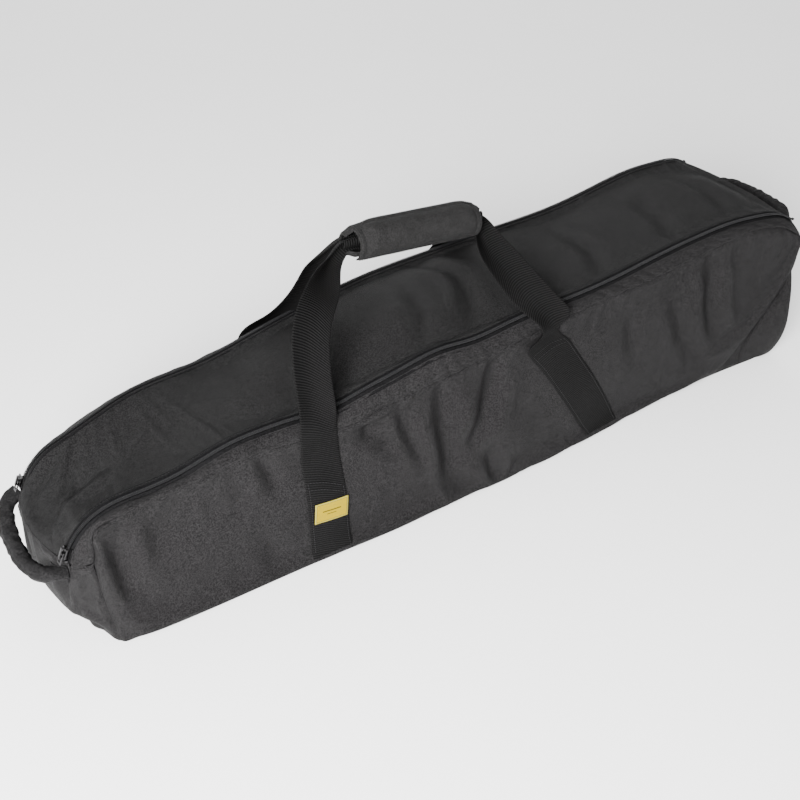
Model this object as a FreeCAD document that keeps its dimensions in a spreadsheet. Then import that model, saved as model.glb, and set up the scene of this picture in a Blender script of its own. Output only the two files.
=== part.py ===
"""A soft carry case for a telescope: a long fabric bag with a zipped lid, carry straps, a padded
grip, a handle at each end and a stiffened base.

Frame: +X along the case, +Y towards its back, +Z up. The origin is the middle of the base's
underside. Millimetres.
"""
import FreeCAD, Part
import math
import os

from FreeCAD import Placement, Rotation, Vector

# Each driving dimension: its alias in the sheet and its value in millimetres or degrees.
DIMENSIONS = {
    # base and walls
    "base_length": 900.0,
    "base_width": 210.0,
    "base_thickness": 3.0,
    "board_margin": 10.0,
    "board_thickness": 3.0,
    "wall_thickness": 2.0,
    "lid_thickness": 1.6,
    "section_middle_height": 100.0,
    "section_top_height": 215.0,
    "left_station": -480.0,
    "shoulder_station": -330.0,
    "waist_station": -150.0,
    "flare_station": 300.0,
    "right_station": 500.0,
    # the line of the zip, seen from the front
    "left_arc_radius": 65.0,
    "right_arc_radius": 50.0,
    "left_tangent_x": -426.0,
    "knee_x": -306.0,
    "knee_height": 183.0,
    "right_tangent_x": 446.0,
    "left_slope": 11.0,
    "main_slope": 3.0,
    "zip_left_angle": 165.0,
    "zip_right_angle": 40.0,
    # the zip's own section
    "tape_width": 10.0,
    "tape_thickness": 0.8,
    "coil_width": 2.8,
    "coil_height": 2.6,
    "coil_gap": 1.2,
    "facing_height": 24.0,
    "facing_thickness": 1.5,
    "seam_gap": 0.2,
    "coil_end_inset": 5.0,
    "stop_inset": 2.25,
    "stop_length": 2.0,
    # the part of the lid that folds back
    "fold_x": 151.0,
    "fold_gap": 2.0,
    # end panels
    "left_end_height": 108.0,
    "right_end_height": 197.0,
    "left_end_lean": 14.0,
    "right_end_lean": 11.0,
    "end_panel_inset": 3.0,
    # sliders and pulls
    "slider_angle": 155.0,
    "slider_length": 11.0,
    "slider_width": 9.0,
    "slider_plate": 1.4,
    "slider_top_gap": 3.7,
    "slider_under_gap": 1.0,
    "slider_post": 0.7,
    "slider_post_length": 2.5,
    "bridge_width": 2.4,
    "bridge_height": 3.7,
    "bridge_hole": 2.5,
    "bridge_bar": 1.2,
    "bridge_root": 0.4,
    "pull_length": 13.0,
    "pull_width": 6.4,
    "pull_thickness": 1.2,
    "pull_pin": 1.5,
    "pull_side": 1.2,
    "pull_end": 2.0,
    # webbing
    "webbing_width": 50.0,
    "webbing_thickness": 1.8,
    "belt_clearance": 0.5,
    "left_belt_x": -202.0,
    "right_belt_x": 197.0,
    "right_belt_lean": 26.6,
    "left_belt_top": 192.0,
    "right_belt_top": 205.0,
    "channel_depth": 1.9,
    "channel_spare": 2.0,
    "leg_foot_gap": 1.0,
    "leg_head_near": 1.0,
    "leg_head_far": 8.5,
    "leg_head_gap": 2.0,
    "leg_head_width": 20.0,
    "leg_head_drop": 3.0,
    # grip
    "grip_x": -18.0,
    "grip_height": 296.5,
    "grip_lean": 9.2,
    "grip_length": 165.0,
    "grip_inner_radius": 14.0,
    "grip_outer_radius": 16.0,
    "foam_inner_radius": 11.0,
    "flap_inner_radius": 17.8,
    "flap_outer_radius": 20.3,
    "fastener_thickness": 0.8,
    "foam_end_margin": 4.0,
    "flap_end_margin": 3.0,
    "fastener_end_margin": 10.0,
    "bundle_length": 185.0,
    "bundle_gap": 0.4,
    "bundle_depth": 8.0,
    "bundle_height": 12.0,
    # end handles
    "handle_radius": 7.5,
    "handle_bore": 5.2,
    "handle_core": 5.0,
    "handle_bend": 24.0,
    "handle_front_y": -74.0,
    "handle_back_y": 44.0,
    "left_handle_x": -488.0,
    "left_handle_height": 98.0,
    "right_handle_x": 500.0,
    "right_handle_height": 188.0,
    "tab_width": 18.0,
    "tab_below": 8.0,
    "tab_above": 7.0,
    "tab_thickness": 1.5,
    # label
    "label_width": 40.0,
    "label_height": 24.0,
    "label_thickness": 0.8,
    "label_centre_height": 60.0,
    "label_gap": 0.05,
}

# Plan of the zip: the front line steps in and the back line closes in towards the left end, and
# the front line flares out towards the right end.
FRONT_PLAN = [(-500.0, -84.0), (-425.0, -84.0), (-330.0, -91.0), (380.0, -91.0), (520.0, -106.0)]
BACK_PLAN = [(-500.0, 42.0), (-425.0, 42.0), (-300.0, 62.0), (-100.0, 84.0), (520.0, 88.0)]

# Half sections of the long walls: y at the base, at the middle height and at the top height.
FRONT_SECTIONS = {
    "left_station": (105.0, 108.0, 84.0),
    "shoulder_station": (107.0, 122.0, 106.0),
    "flare_station": (107.0, 122.0, 106.0),
    "right_station": (107.0, 122.0, 114.0),
}
BACK_SECTIONS = {
    "left_station": (105.0, 70.0, 20.0),
    "shoulder_station": (107.0, 108.0, 62.0),
    "waist_station": (107.0, 122.0, 98.0),
    "right_station": (107.0, 122.0, 106.0),
}

# Top of the left end panel, from its back edge to its front one: y, and the share of its height.
LEFT_END_TOP = [(68.0, 0.9), (50.0, 1.0), (-88.0, 1.0)]

# Sectors of the grip's rings, in degrees from +Y towards +Z.
WRAP_SECTOR = (-150.0, 95.0)
FOAM_SECTOR = (-148.0, 93.0)
LOOP_SECTOR = (-148.0, -128.0)
FLAP_SECTOR = (78.0, 234.0)
HOOK_SECTOR = (212.0, 232.0)

# Angles of the outermost points of the zip's two end arcs.
LEFTMOST, RIGHTMOST = 180.0, 0.0

REACH = 700.0
SAME_POINT = 1e-6
LEAST_CUT = 1.0

doc = FreeCAD.newDocument("carry_case")
sheet = doc.addObject("Spreadsheet::Sheet", "dims")
nodes = []


def fill_sheet():
    """Puts every driving dimension in the sheet under its alias."""
    for row, (alias, value) in enumerate(DIMENSIONS.items(), start=1):
        sheet.set(f"A{row}", alias)
        sheet.set(f"B{row}", str(value))
        sheet.setAlias(f"B{row}", alias)
    doc.recompute()


def dim(alias):
    """The value of a driving dimension, as the sheet holds it."""
    return float(getattr(sheet, alias))


def polar(centre, radius, degrees):
    """The point at a radius and angle from a centre, in the plane of an outline."""
    angle = math.radians(degrees)
    return Vector(centre.x + radius * math.cos(angle), centre.y + radius * math.sin(angle), 0)


class Outline:
    """A closed outline of lines and arcs, drawn from point to point in a sketch's plane."""

    def __init__(self, start):
        self.start = start
        self.last = start
        self.curves = []

    def line(self, *points):
        for point in points:
            self.curves.append(Part.LineSegment(self.last, point))
            self.last = point
        return self

    def arc(self, through, point):
        self.curves.append(Part.Arc(self.last, through, point))
        self.last = point
        return self

    def close(self):
        if self.last.distanceToPoint(self.start) > SAME_POINT:
            self.line(self.start)
        return self.curves


def polygon(pairs):
    """A closed outline of straight lines through (x, y) pairs."""
    points = [Vector(x, y, 0) for x, y in pairs]
    return Outline(points[0]).line(*points[1:]).close()


def rectangle(low_x, high_x, low_y, high_y):
    return polygon([(low_x, low_y), (high_x, low_y), (high_x, high_y), (low_x, high_y)])


def new_body(label):
    body = doc.addObject("PartDesign::Body", label)
    body.Label = label
    nodes.append(body)
    return body


def new_sketch(body, role, curves, offset=None):
    """A sketch on one of the body's own origin planes, moved along its normal by an expression."""
    plane = next(f for f in body.Origin.OriginFeatures if f.Role == role)
    sketch = body.newObject("Sketcher::SketchObject", body.Name + "_sketch")
    sketch.AttachmentSupport = (plane, [""])
    sketch.MapMode = "FlatFace"
    sketch.addGeometry(curves, False)
    if offset is not None:
        sketch.setExpression("AttachmentOffset.Base.z", offset)
    return sketch


def pad(body, sketch, length, middle=True):
    """Pads a sketch by an expression, about its plane or along its normal."""
    feature = body.newObject("PartDesign::Pad", body.Name + "_pad")
    feature.Profile = sketch
    feature.SideType = "Symmetric" if middle else "One side"
    feature.setExpression("Length", length)
    doc.recompute()
    return feature


def pocket(body, sketch, length=None, flipped=False):
    """Cuts a sketch right through, or to a depth, and refuses a cut that takes nothing away."""
    before = body.Shape.Volume
    feature = body.newObject("PartDesign::Pocket", body.Name + "_pocket")
    feature.Profile = sketch
    if length is None:
        feature.Type = "ThroughAll"
        feature.SideType = "Symmetric"
    else:
        feature.setExpression("Length", length)
        feature.Reversed = flipped
    doc.recompute()
    if body.Shape.Volume > before - LEAST_CUT:
        raise RuntimeError(f"{body.Label}: the pocket cut nothing")
    return feature


def keep_inside(body, role, curves):
    """Cuts away all of a body that lies outside an outline drawn on one of its origin planes."""
    frame = rectangle(-REACH, REACH, -REACH, REACH)
    pocket(body, new_sketch(body, role, frame + curves))


def place(item, x=None, y=None, z=None):
    """Binds an object's position to expressions of the sheet."""
    for axis, expression in (("x", x), ("y", y), ("z", z)):
        if expression is not None:
            item.setExpression(f"Placement.Base.{axis}", expression)


def lean(item, degrees):
    """Binds an object's turn about Y to an expression in degrees."""
    item.Placement = Placement(item.Placement.Base, Rotation(Vector(0, 1, 0), 1))
    item.setExpression("Placement.Rotation.Angle", degrees)


# ---------------------------------------------------------------- the line of the zip


def direction(degrees):
    angle = math.radians(degrees)
    return Vector(math.cos(angle), math.sin(angle), 0)


def upward(degrees):
    angle = math.radians(degrees)
    return Vector(-math.sin(angle), math.cos(angle), 0)


def zip_points(offset):
    """Key points of the zip's line, moved outwards by an offset, in the plane seen from the front."""
    first, second = upward(dim("left_slope")), upward(dim("main_slope"))
    knee = Vector(dim("knee_x"), dim("knee_height"), 0)
    back = (dim("knee_x") - dim("left_tangent_x")) / math.cos(math.radians(dim("left_slope")))
    ahead = (dim("right_tangent_x") - dim("knee_x")) / math.cos(math.radians(dim("main_slope")))
    left_centre = knee - direction(dim("left_slope")) * back - first * dim("left_arc_radius")
    right_centre = knee + direction(dim("main_slope")) * ahead - second * dim("right_arc_radius")
    left_radius = dim("left_arc_radius") + offset
    right_radius = dim("right_arc_radius") + offset
    return {
        "left_centre": left_centre,
        "right_centre": right_centre,
        "left_radius": left_radius,
        "right_radius": right_radius,
        "left_tangent": left_centre + first * left_radius,
        "knee": knee + (first + second) * (offset / (1 + first.dot(second))),
        "right_tangent": right_centre + second * right_radius,
    }


def left_arc_point(line, degrees):
    return polar(line["left_centre"], line["left_radius"], degrees)


def right_arc_point(line, degrees):
    return polar(line["right_centre"], line["right_radius"], degrees)


def follow_zip(outline, line, left_angle, right_angle):
    """Draws along the zip's line from its left end, where the outline already is, to its right end."""
    left_top, right_top = 90 + dim("left_slope"), 90 + dim("main_slope")
    outline.arc(left_arc_point(line, (left_angle + left_top) / 2), line["left_tangent"])
    outline.line(line["knee"], line["right_tangent"])
    outline.arc(
        right_arc_point(line, (right_top + right_angle) / 2), right_arc_point(line, right_angle)
    )
    return outline


def follow_zip_back(outline, line, left_angle, right_angle):
    """Draws along the zip's line from its right end, where the outline already is, to its left end."""
    left_top, right_top = 90 + dim("left_slope"), 90 + dim("main_slope")
    outline.arc(right_arc_point(line, (right_top + right_angle) / 2), line["right_tangent"])
    outline.line(line["knee"], line["left_tangent"])
    outline.arc(
        left_arc_point(line, (left_angle + left_top) / 2), left_arc_point(line, left_angle)
    )
    return outline


def zip_strip(low, high, inset=0.0):
    """The closed outline between two offsets of the zip's line. inset shortens both ends, in degrees."""
    left_angle = dim("zip_left_angle") - inset
    right_angle = dim("zip_right_angle") + inset
    outer, inner = zip_points(high), zip_points(low)
    outline = Outline(left_arc_point(outer, left_angle))
    follow_zip(outline, outer, left_angle, right_angle)
    outline.line(right_arc_point(inner, right_angle))
    follow_zip_back(outline, inner, left_angle, right_angle)
    return outline.close()


def plan_height(plan, x):
    """The y of a plan line at x."""
    for (x0, y0), (x1, y1) in zip(plan, plan[1:]):
        if x0 <= x <= x1:
            return y0 + (y1 - y0) * (x - x0) / (x1 - x0)
    raise ValueError(f"x {x} is off the plan line")


def plan_band(first, first_shift, second, second_shift, low_x, high_x):
    """The plan outline between two plan lines, each shifted in y, from low_x to high_x."""

    def points(plan, shift):
        inner = [x for x, _ in plan if low_x < x < high_x]
        return [(x, plan_height(plan, x) + shift) for x in [low_x, *inner, high_x]]

    return polygon(points(first, first_shift) + points(second, second_shift)[::-1])


def zip_piece(label, low, high, band, inset=0.0):
    """A piece that follows the zip's line seen from the front and lies in a band seen from above."""
    body = new_body(label)
    pad(body, new_sketch(body, "XZ_Plane", zip_strip(low, high, inset)), "dims.base_width * 2")
    keep_inside(body, "XY_Plane", band)
    return body


# ---------------------------------------------------------------- base and walls


def make_base():
    """The base panel, with a channel under it for each belt, and the stiff board that lies on it."""
    body = new_body("base_panel")
    half_length, half_width = dim("base_length") / 2, dim("base_width") / 2
    pad(
        body,
        new_sketch(body, "XY_Plane", rectangle(-half_length, half_length, -half_width, half_width)),
        "dims.base_thickness",
        middle=False,
    )
    left_half = dim("webbing_width") / 2 + dim("channel_spare")
    right_half = left_half / math.cos(math.radians(dim("right_belt_lean")))
    channels = []
    for centre, half in ((dim("left_belt_x"), left_half), (dim("right_belt_x"), right_half)):
        channels += rectangle(centre - half, centre + half, -dim("base_width"), dim("base_width"))
    pocket(body, new_sketch(body, "XY_Plane", channels), "dims.channel_depth", flipped=True)

    board = doc.addObject("Part::Box", "base_board")
    board.Label = "base_board"
    board.setExpression("Length", "dims.base_length - 2 * dims.board_margin")
    board.setExpression("Width", "dims.base_width - 2 * dims.board_margin")
    board.setExpression("Height", "dims.board_thickness")
    place(
        board,
        "dims.board_margin - dims.base_length / 2",
        "dims.board_margin - dims.base_width / 2",
        "dims.base_thickness",
    )
    nodes.append(board)


def wall_arc(section, side, shift=0.0):
    """Three points of a long wall's curve at a station, moved outwards by a shift."""
    heights = (dim("base_thickness"), dim("section_middle_height"), dim("section_top_height"))
    return [Vector(side * (y + shift), z, 0) for y, z in zip(section, heights)]


def wall_outline(section, side):
    """The closed section of a long wall: its outer curve and, one wall thickness in, its inner one."""
    outer = wall_arc(section, side)
    inner = wall_arc(section, side, -dim("wall_thickness"))
    outline = Outline(outer[0]).arc(outer[1], outer[2]).line(inner[2])
    return outline.arc(inner[1], inner[0]).close()


def make_long_wall(label, sections, side):
    """A long wall lofted through its stations, then cut to its outline seen from the front."""
    body = new_body(label)
    sketches = [
        new_sketch(body, "YZ_Plane", wall_outline(section, side), f"dims.{station}")
        for station, section in sections.items()
    ]
    loft = body.newObject("PartDesign::AdditiveLoft", label + "_loft")
    loft.Profile = sketches[0]
    loft.Sections = sketches[1:]
    loft.Ruled = True
    doc.recompute()

    seam = zip_points(-dim("facing_height") - dim("seam_gap"))
    seam_start, seam_end = left_arc_point(seam, LEFTMOST), right_arc_point(seam, RIGHTMOST)
    foot, end = dim("base_thickness"), dim("base_length") / 2
    left_edge = end + math.tan(math.radians(dim("left_end_lean"))) * seam_start.y
    right_edge = end + math.tan(math.radians(dim("right_end_lean"))) * seam_end.y
    outline = Outline(Vector(-end, foot, 0))
    outline.line(Vector(-left_edge, seam_start.y, 0), seam_start)
    follow_zip(outline, seam, LEFTMOST, RIGHTMOST)
    outline.line(Vector(right_edge, seam_end.y, 0), Vector(end, foot, 0))
    keep_inside(body, "XZ_Plane", outline.close())


def make_end_panels():
    """The two end panels, each leaning outwards from the base's end edge."""
    half = dim("base_width") / 2 - dim("end_panel_inset")
    left_top, right_top = dim("left_end_height"), dim("right_end_height")
    corners = [(y, share * left_top) for y, share in LEFT_END_TOP]
    left = polygon([(-half, 0), (half, 0), *corners])
    right = polygon([(-half, 0), (half, 0), (half, right_top), (-half, right_top)])
    for label, curves, sign in (("left_end_panel", left, -1), ("right_end_panel", right, 1)):
        body = new_body(label)
        sketch = new_sketch(body, "YZ_Plane", curves)
        side = label.split("_")[0]
        pad(body, sketch, "dims.wall_thickness")
        lean(body, f"{sign} * dims.{side}_end_lean")
        place(
            body,
            f"{sign} * (dims.base_length / 2 + dims.wall_thickness)",
            z="dims.base_thickness",
        )


# ---------------------------------------------------------------- lid and zip


def make_lid():
    """The fixed stretch of the lid and the stretch that folds back about a line across the case."""
    tape, thickness = dim("tape_width"), dim("lid_thickness")
    for label, low_x, high_x in (("lid_panel", *LID_SPAN), ("lid_flap_panel", *FLAP_SPAN)):
        band = plan_band(FRONT_PLAN, tape, BACK_PLAN, -tape, low_x, high_x)
        zip_piece(label, -thickness, 0.0, band)


def zip_bands(inner, outer, sign, plan, spans):
    """The bands that a tape or a coil takes beside a plan line: one per name in spans."""
    return {
        name: plan_band(plan, sign[name] * inner, plan, sign[name] * outer, *span)
        for name, span in spans.items()
    }


def make_zips():
    """The front and the back zip: each has a case side, and a lid side in two stretches."""
    half_tape = dim("tape_thickness") / 2
    gap = dim("coil_gap") / 2
    spans = {"case": (LID_SPAN[0], FLAP_SPAN[1]), "lid": LID_SPAN, "flap": FLAP_SPAN}
    for name, plan, inwards in (("front", FRONT_PLAN, 1), ("back", BACK_PLAN, -1)):
        sign = {"case": -inwards, "lid": inwards, "flap": inwards}
        tapes = zip_bands(gap, dim("tape_width"), sign, plan, spans)
        coils = zip_bands(gap, gap + dim("coil_width"), sign, plan, spans)
        for side in spans:
            zip_piece(f"{name}_{side}_tape", -half_tape, half_tape, tapes[side])
            top = half_tape + dim("coil_height")
            zip_piece(f"{name}_{side}_coil", half_tape, top, coils[side], dim("coil_end_inset"))
        outer = dim("tape_width")
        inner = outer - dim("facing_thickness")
        band = plan_band(plan, sign["case"] * inner, plan, sign["case"] * outer, *spans["case"])
        zip_piece(f"{name}_facing", -dim("facing_height"), -half_tape, band)


def zip_frame(degrees, y, centre, radius):
    """The placement on an end arc: local X along the zip, local Z outwards."""
    point = polar(centre, radius, degrees)
    return Placement(Vector(point.x, y, point.y), Rotation(Vector(0, 1, 0), 90 - degrees))


def box_at(name, frame, low, high):
    """A box between two local corners of a frame."""
    box = doc.addObject("Part::Box", name)
    box.Length, box.Width, box.Height = high - low
    box.Placement = frame.multiply(Placement(low, Rotation()))
    return box


def group(label, items):
    """One node of several separate solids."""
    compound = doc.addObject("Part::Compound", label)
    compound.Label = label
    compound.Links = items
    nodes.append(compound)


def make_end_stops():
    """The stops at both ends of each zip, as one node of separate solids."""
    line = zip_points(0.0)
    base = dim("tape_thickness") / 2
    top = base + dim("coil_height")
    reach = dim("coil_gap") / 2 + dim("coil_width")
    half, inset = dim("stop_length") / 2, dim("stop_inset")
    stops = []
    for name, plan, case_side in (("front", FRONT_PLAN, -1), ("back", BACK_PLAN, 1)):
        angle = dim("zip_left_angle") - inset
        left = zip_frame(angle, plan[0][1], line["left_centre"], line["left_radius"])
        low, high = Vector(-half, -reach, base), Vector(half, reach, top)
        stops.append(box_at(f"{name}_left_stop", left, low, high))

        angle = dim("zip_right_angle") + inset
        x = polar(line["right_centre"], line["right_radius"], angle).x
        right = zip_frame(
            angle, plan_height(plan, x), line["right_centre"], line["right_radius"]
        )
        near, far = sorted((case_side * dim("coil_gap") / 2, case_side * reach))
        low, high = Vector(-half, near, base), Vector(half, far, top)
        stops.append(box_at(f"{name}_right_stop", right, low, high))
    group("zip_end_stops", stops)


def make_slider(name, y):
    """A slider parked at the left end of its zip, and the pull that is linked through its bridge."""
    line = zip_points(0.0)
    frame = zip_frame(dim("slider_angle"), y, line["left_centre"], line["left_radius"])
    half = dim("slider_length") / 2
    top, plate = dim("slider_top_gap"), dim("slider_plate")
    under = dim("slider_under_gap")
    bridge_low = top + plate
    bridge_high = bridge_low + dim("bridge_height")
    hole_high = bridge_low + dim("bridge_hole")
    post_low = half - dim("slider_post_length")

    body = new_body(f"{name}_slider_body")
    body.Placement = frame
    upper = new_sketch(body, "XZ_Plane", rectangle(-half, half, top, top + plate))
    pad(body, upper, "dims.slider_width")
    post = new_sketch(body, "XZ_Plane", rectangle(post_low, half, -under - plate, top + plate))
    pad(body, post, "dims.slider_post")
    lower = new_sketch(body, "XZ_Plane", rectangle(-half, half, -under - plate, -under))
    pad(body, lower, "dims.slider_width")
    arch = rectangle(-half, half, bridge_low - dim("bridge_root"), bridge_high)
    inside = half - dim("bridge_bar")
    opening = rectangle(-inside, inside, bridge_low, hole_high)
    pad(body, new_sketch(body, "XZ_Plane", arch + opening), "dims.bridge_width")

    pull = new_body(f"{name}_pull")
    pull.Placement = frame
    half_width, half_pin = dim("pull_width") / 2, dim("pull_pin") / 2
    half_eye = half_width - dim("pull_side")
    ring = rectangle(-dim("pull_length"), half_pin, -half_width, half_width)
    eye = rectangle(dim("pull_end") - dim("pull_length"), -half_pin, -half_eye, half_eye)
    pivot = "dims.slider_top_gap + dims.slider_plate + dims.bridge_hole / 2"
    pad(pull, new_sketch(pull, "XY_Plane", ring + eye, pivot), "dims.pull_thickness")


# ---------------------------------------------------------------- webbing


def circle_through(points):
    """The circle that a three-point arc lies on."""
    return Part.Arc(*points).toShape().Curve


def on_curve(circle, height):
    """The point of a front wall's circle at a height."""
    reach = math.sqrt(circle.Radius**2 - (height - circle.Center.y) ** 2)
    return Vector(circle.Center.x - reach, height, 0)


def belt_section(top):
    """The section of a belt: up the front wall, under the base in its channel, and up the back."""
    section = FRONT_SECTIONS["shoulder_station"]
    clearance = dim("belt_clearance")
    thickness = dim("webbing_thickness")
    inner = circle_through(wall_arc(section, -1, clearance))
    outer = circle_through(wall_arc(section, -1, clearance + thickness))

    def mirrored(point):
        return Vector(-point.x, point.y, 0)

    middle = dim("section_middle_height")
    outer_points = [on_curve(outer, height) for height in (top, middle, 0.0)]
    inner_points = [on_curve(inner, height) for height in (thickness, middle, top)]
    outline = Outline(outer_points[0]).arc(outer_points[1], outer_points[2])
    outline.line(mirrored(outer_points[2])).arc(mirrored(outer_points[1]), mirrored(outer_points[0]))
    outline.line(mirrored(inner_points[2])).arc(mirrored(inner_points[1]), mirrored(inner_points[0]))
    outline.line(inner_points[0]).arc(inner_points[1], inner_points[2])
    return outline.close()


def make_belts():
    """The two belts sewn round the case. The right one leans towards the middle as it rises."""
    left = new_body("left_belt")
    section = belt_section(dim("left_belt_top"))
    sketch = new_sketch(left, "YZ_Plane", section, "dims.left_belt_x")
    pad(left, sketch, "dims.webbing_width")

    right = new_body("right_belt")
    top = dim("right_belt_top")
    sketch = new_sketch(right, "YZ_Plane", belt_section(top), "dims.right_belt_x")
    pad(right, sketch, "dims.base_length / 2")
    shift = math.tan(math.radians(dim("right_belt_lean"))) * top
    half = dim("webbing_width") / 2 / math.cos(math.radians(dim("right_belt_lean")))
    foot = dim("right_belt_x")
    corners = [(foot - half, 0), (foot + half, 0), (foot + half - shift, top)]
    keep_inside(right, "XZ_Plane", polygon([*corners, (foot - half - shift, top)]))


def make_leg(label, low_rectangle, low_z, high_rectangle, high_z):
    """A free stretch of webbing, from the belt's end to the bunched webbing at the grip's end."""
    body = new_body(label)
    low = new_sketch(body, "XY_Plane", rectangle(*low_rectangle), low_z)
    high = new_sketch(body, "XY_Plane", rectangle(*high_rectangle), high_z)
    loft = body.newObject("PartDesign::AdditiveLoft", label + "_loft")
    loft.Profile = low
    loft.Sections = [high]
    loft.Ruled = True
    doc.recompute()


def make_legs():
    """The four free stretches, a front and a back one at each end of the grip."""
    half = dim("webbing_width") / 2
    shift = math.tan(math.radians(dim("right_belt_lean"))) * dim("right_belt_top")
    half_right = half / math.cos(math.radians(dim("right_belt_lean")))
    right_centre = dim("right_belt_x") - shift
    reach = dim("bundle_length") / 2 * math.cos(math.radians(dim("grip_lean")))
    left_end, right_end = dim("grip_x") - reach, dim("grip_x") + reach
    belt = circle_through(wall_arc(FRONT_SECTIONS["shoulder_station"], -1, dim("belt_clearance")))
    near, far = dim("leg_head_near"), dim("leg_head_far")
    gap, width = dim("leg_head_gap"), dim("leg_head_width")
    rise = "sin(dims.grip_lean * 1 deg) * dims.bundle_length / 2"
    height = "dims.grip_height - dims.leg_head_drop"
    ends = {
        "left": (
            (dim("left_belt_x") - half, dim("left_belt_x") + half),
            (left_end - gap - width, left_end - gap),
            f"{height} + {rise}",
        ),
        "right": (
            (right_centre - half_right, right_centre + half_right),
            (right_end + gap, right_end + gap + width),
            f"{height} - {rise}",
        ),
    }
    for side, (foot, head, head_z) in ends.items():
        foot_z = f"dims.{side}_belt_top + dims.leg_foot_gap"
        wall = -on_curve(belt, dim(f"{side}_belt_top")).x
        for name, sign in (("front", -1), ("back", 1)):
            foot_y = sorted((sign * wall, sign * (wall + dim("webbing_thickness"))))
            head_y = sorted((sign * near, sign * far))
            label = f"{name}_{side}_leg"
            make_leg(label, (*foot, *foot_y), foot_z, (*head, *head_y), head_z)


def make_label():
    """The plain woven label sewn on the left belt."""
    label = doc.addObject("Part::Box", "woven_label")
    label.Label = "woven_label"
    label.setExpression("Length", "dims.label_width")
    label.setExpression("Width", "dims.label_thickness")
    label.setExpression("Height", "dims.label_height")
    shift = dim("belt_clearance") + dim("webbing_thickness")
    belt = circle_through(wall_arc(FRONT_SECTIONS["shoulder_station"], -1, shift))
    half = dim("label_height") / 2
    heights = (dim("label_centre_height") - half, dim("label_centre_height") + half)
    face = min(on_curve(belt, height).x for height in heights) - dim("label_gap")
    place(
        label,
        "dims.left_belt_x - dims.label_width / 2",
        f"{face} - dims.label_thickness",
        "dims.label_centre_height - dims.label_height / 2",
    )
    nodes.append(label)


# ---------------------------------------------------------------- grip


def sector(inner, outer, start, end):
    """The closed outline of a ring's sector, in degrees from +Y towards +Z."""
    centre = Vector(0, 0, 0)
    middle = (start + end) / 2
    outline = Outline(polar(centre, inner, start)).line(polar(centre, outer, start))
    outline.arc(polar(centre, outer, middle), polar(centre, outer, end))
    outline.line(polar(centre, inner, end))
    return outline.arc(polar(centre, inner, middle), polar(centre, inner, start)).close()


def grip_piece(label, curves, length):
    """A piece of the grip, padded along the grip's own leaning axis."""
    body = new_body(label)
    pad(body, new_sketch(body, "YZ_Plane", curves), length)
    lean(body, "dims.grip_lean")
    place(body, "dims.grip_x", z="dims.grip_height")
    return body


def make_grip():
    """The padded wrap round both loops of webbing, its front flap and its hook and loop fastener."""
    inner, outer = dim("grip_inner_radius"), dim("grip_outer_radius")
    fastener = dim("fastener_thickness")
    depth, half_height = dim("bundle_depth"), dim("bundle_height") / 2
    flap_inner, flap_outer = dim("flap_inner_radius"), dim("flap_outer_radius")
    foam_length = "dims.grip_length - 2 * dims.foam_end_margin"
    flap_length = "dims.grip_length - 2 * dims.flap_end_margin"
    fastener_length = "dims.grip_length - 2 * dims.fastener_end_margin"
    grip_piece("grip_wrap", sector(inner, outer, *WRAP_SECTOR), "dims.grip_length")
    grip_piece("grip_foam", sector(dim("foam_inner_radius"), inner, *FOAM_SECTOR), foam_length)
    loop_tape = sector(outer, outer + fastener, *LOOP_SECTOR)
    grip_piece("grip_loop_tape", loop_tape, fastener_length)
    grip_piece("grip_flap_cover", sector(flap_inner, flap_outer, *FLAP_SECTOR), flap_length)
    hook_tape = sector(flap_inner - fastener, flap_inner, *HOOK_SECTOR)
    grip_piece("grip_hook_tape", hook_tape, fastener_length)
    gap = dim("bundle_gap")
    for name, low, high in (("front", -depth - gap, -gap), ("back", gap, depth + gap)):
        curves = rectangle(low, high, -half_height, half_height)
        grip_piece(f"{name}_grip_webbing", curves, "dims.bundle_length")


# ---------------------------------------------------------------- end handles


def handle_path(sign):
    """The bow of an end handle, seen from above, from its front end to its back end."""
    bend = dim("handle_bend")
    front, back = dim("handle_front_y"), dim("handle_back_y")
    turn = bend * math.sqrt(0.5)
    outline = Outline(Vector(0, front, 0))
    outline.arc(
        Vector(sign * turn, front + bend - turn, 0), Vector(sign * bend, front + bend, 0)
    )
    outline.line(Vector(sign * bend, back - bend, 0))
    outline.arc(Vector(sign * turn, back - bend + turn, 0), Vector(0, back, 0))
    return outline.curves


def handle_piece(label, side, sign, radii):
    """A tube or rod along the handle's bow."""
    body = new_body(label)
    path = new_sketch(body, "XY_Plane", handle_path(sign))
    centre = Vector(dim("handle_front_y"), 0, 0)
    rings = [Part.Circle(centre, Vector(0, 0, 1), radius) for radius in radii]
    profile = new_sketch(body, "YZ_Plane", rings)
    pipe = body.newObject("PartDesign::AdditivePipe", label + "_pipe")
    pipe.Profile = profile
    pipe.Spine = (path, [f"Edge{i + 1}" for i in range(len(path.Geometry))])
    place(body, f"dims.{side}_handle_x", z=f"dims.{side}_handle_height")
    doc.recompute()


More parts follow.
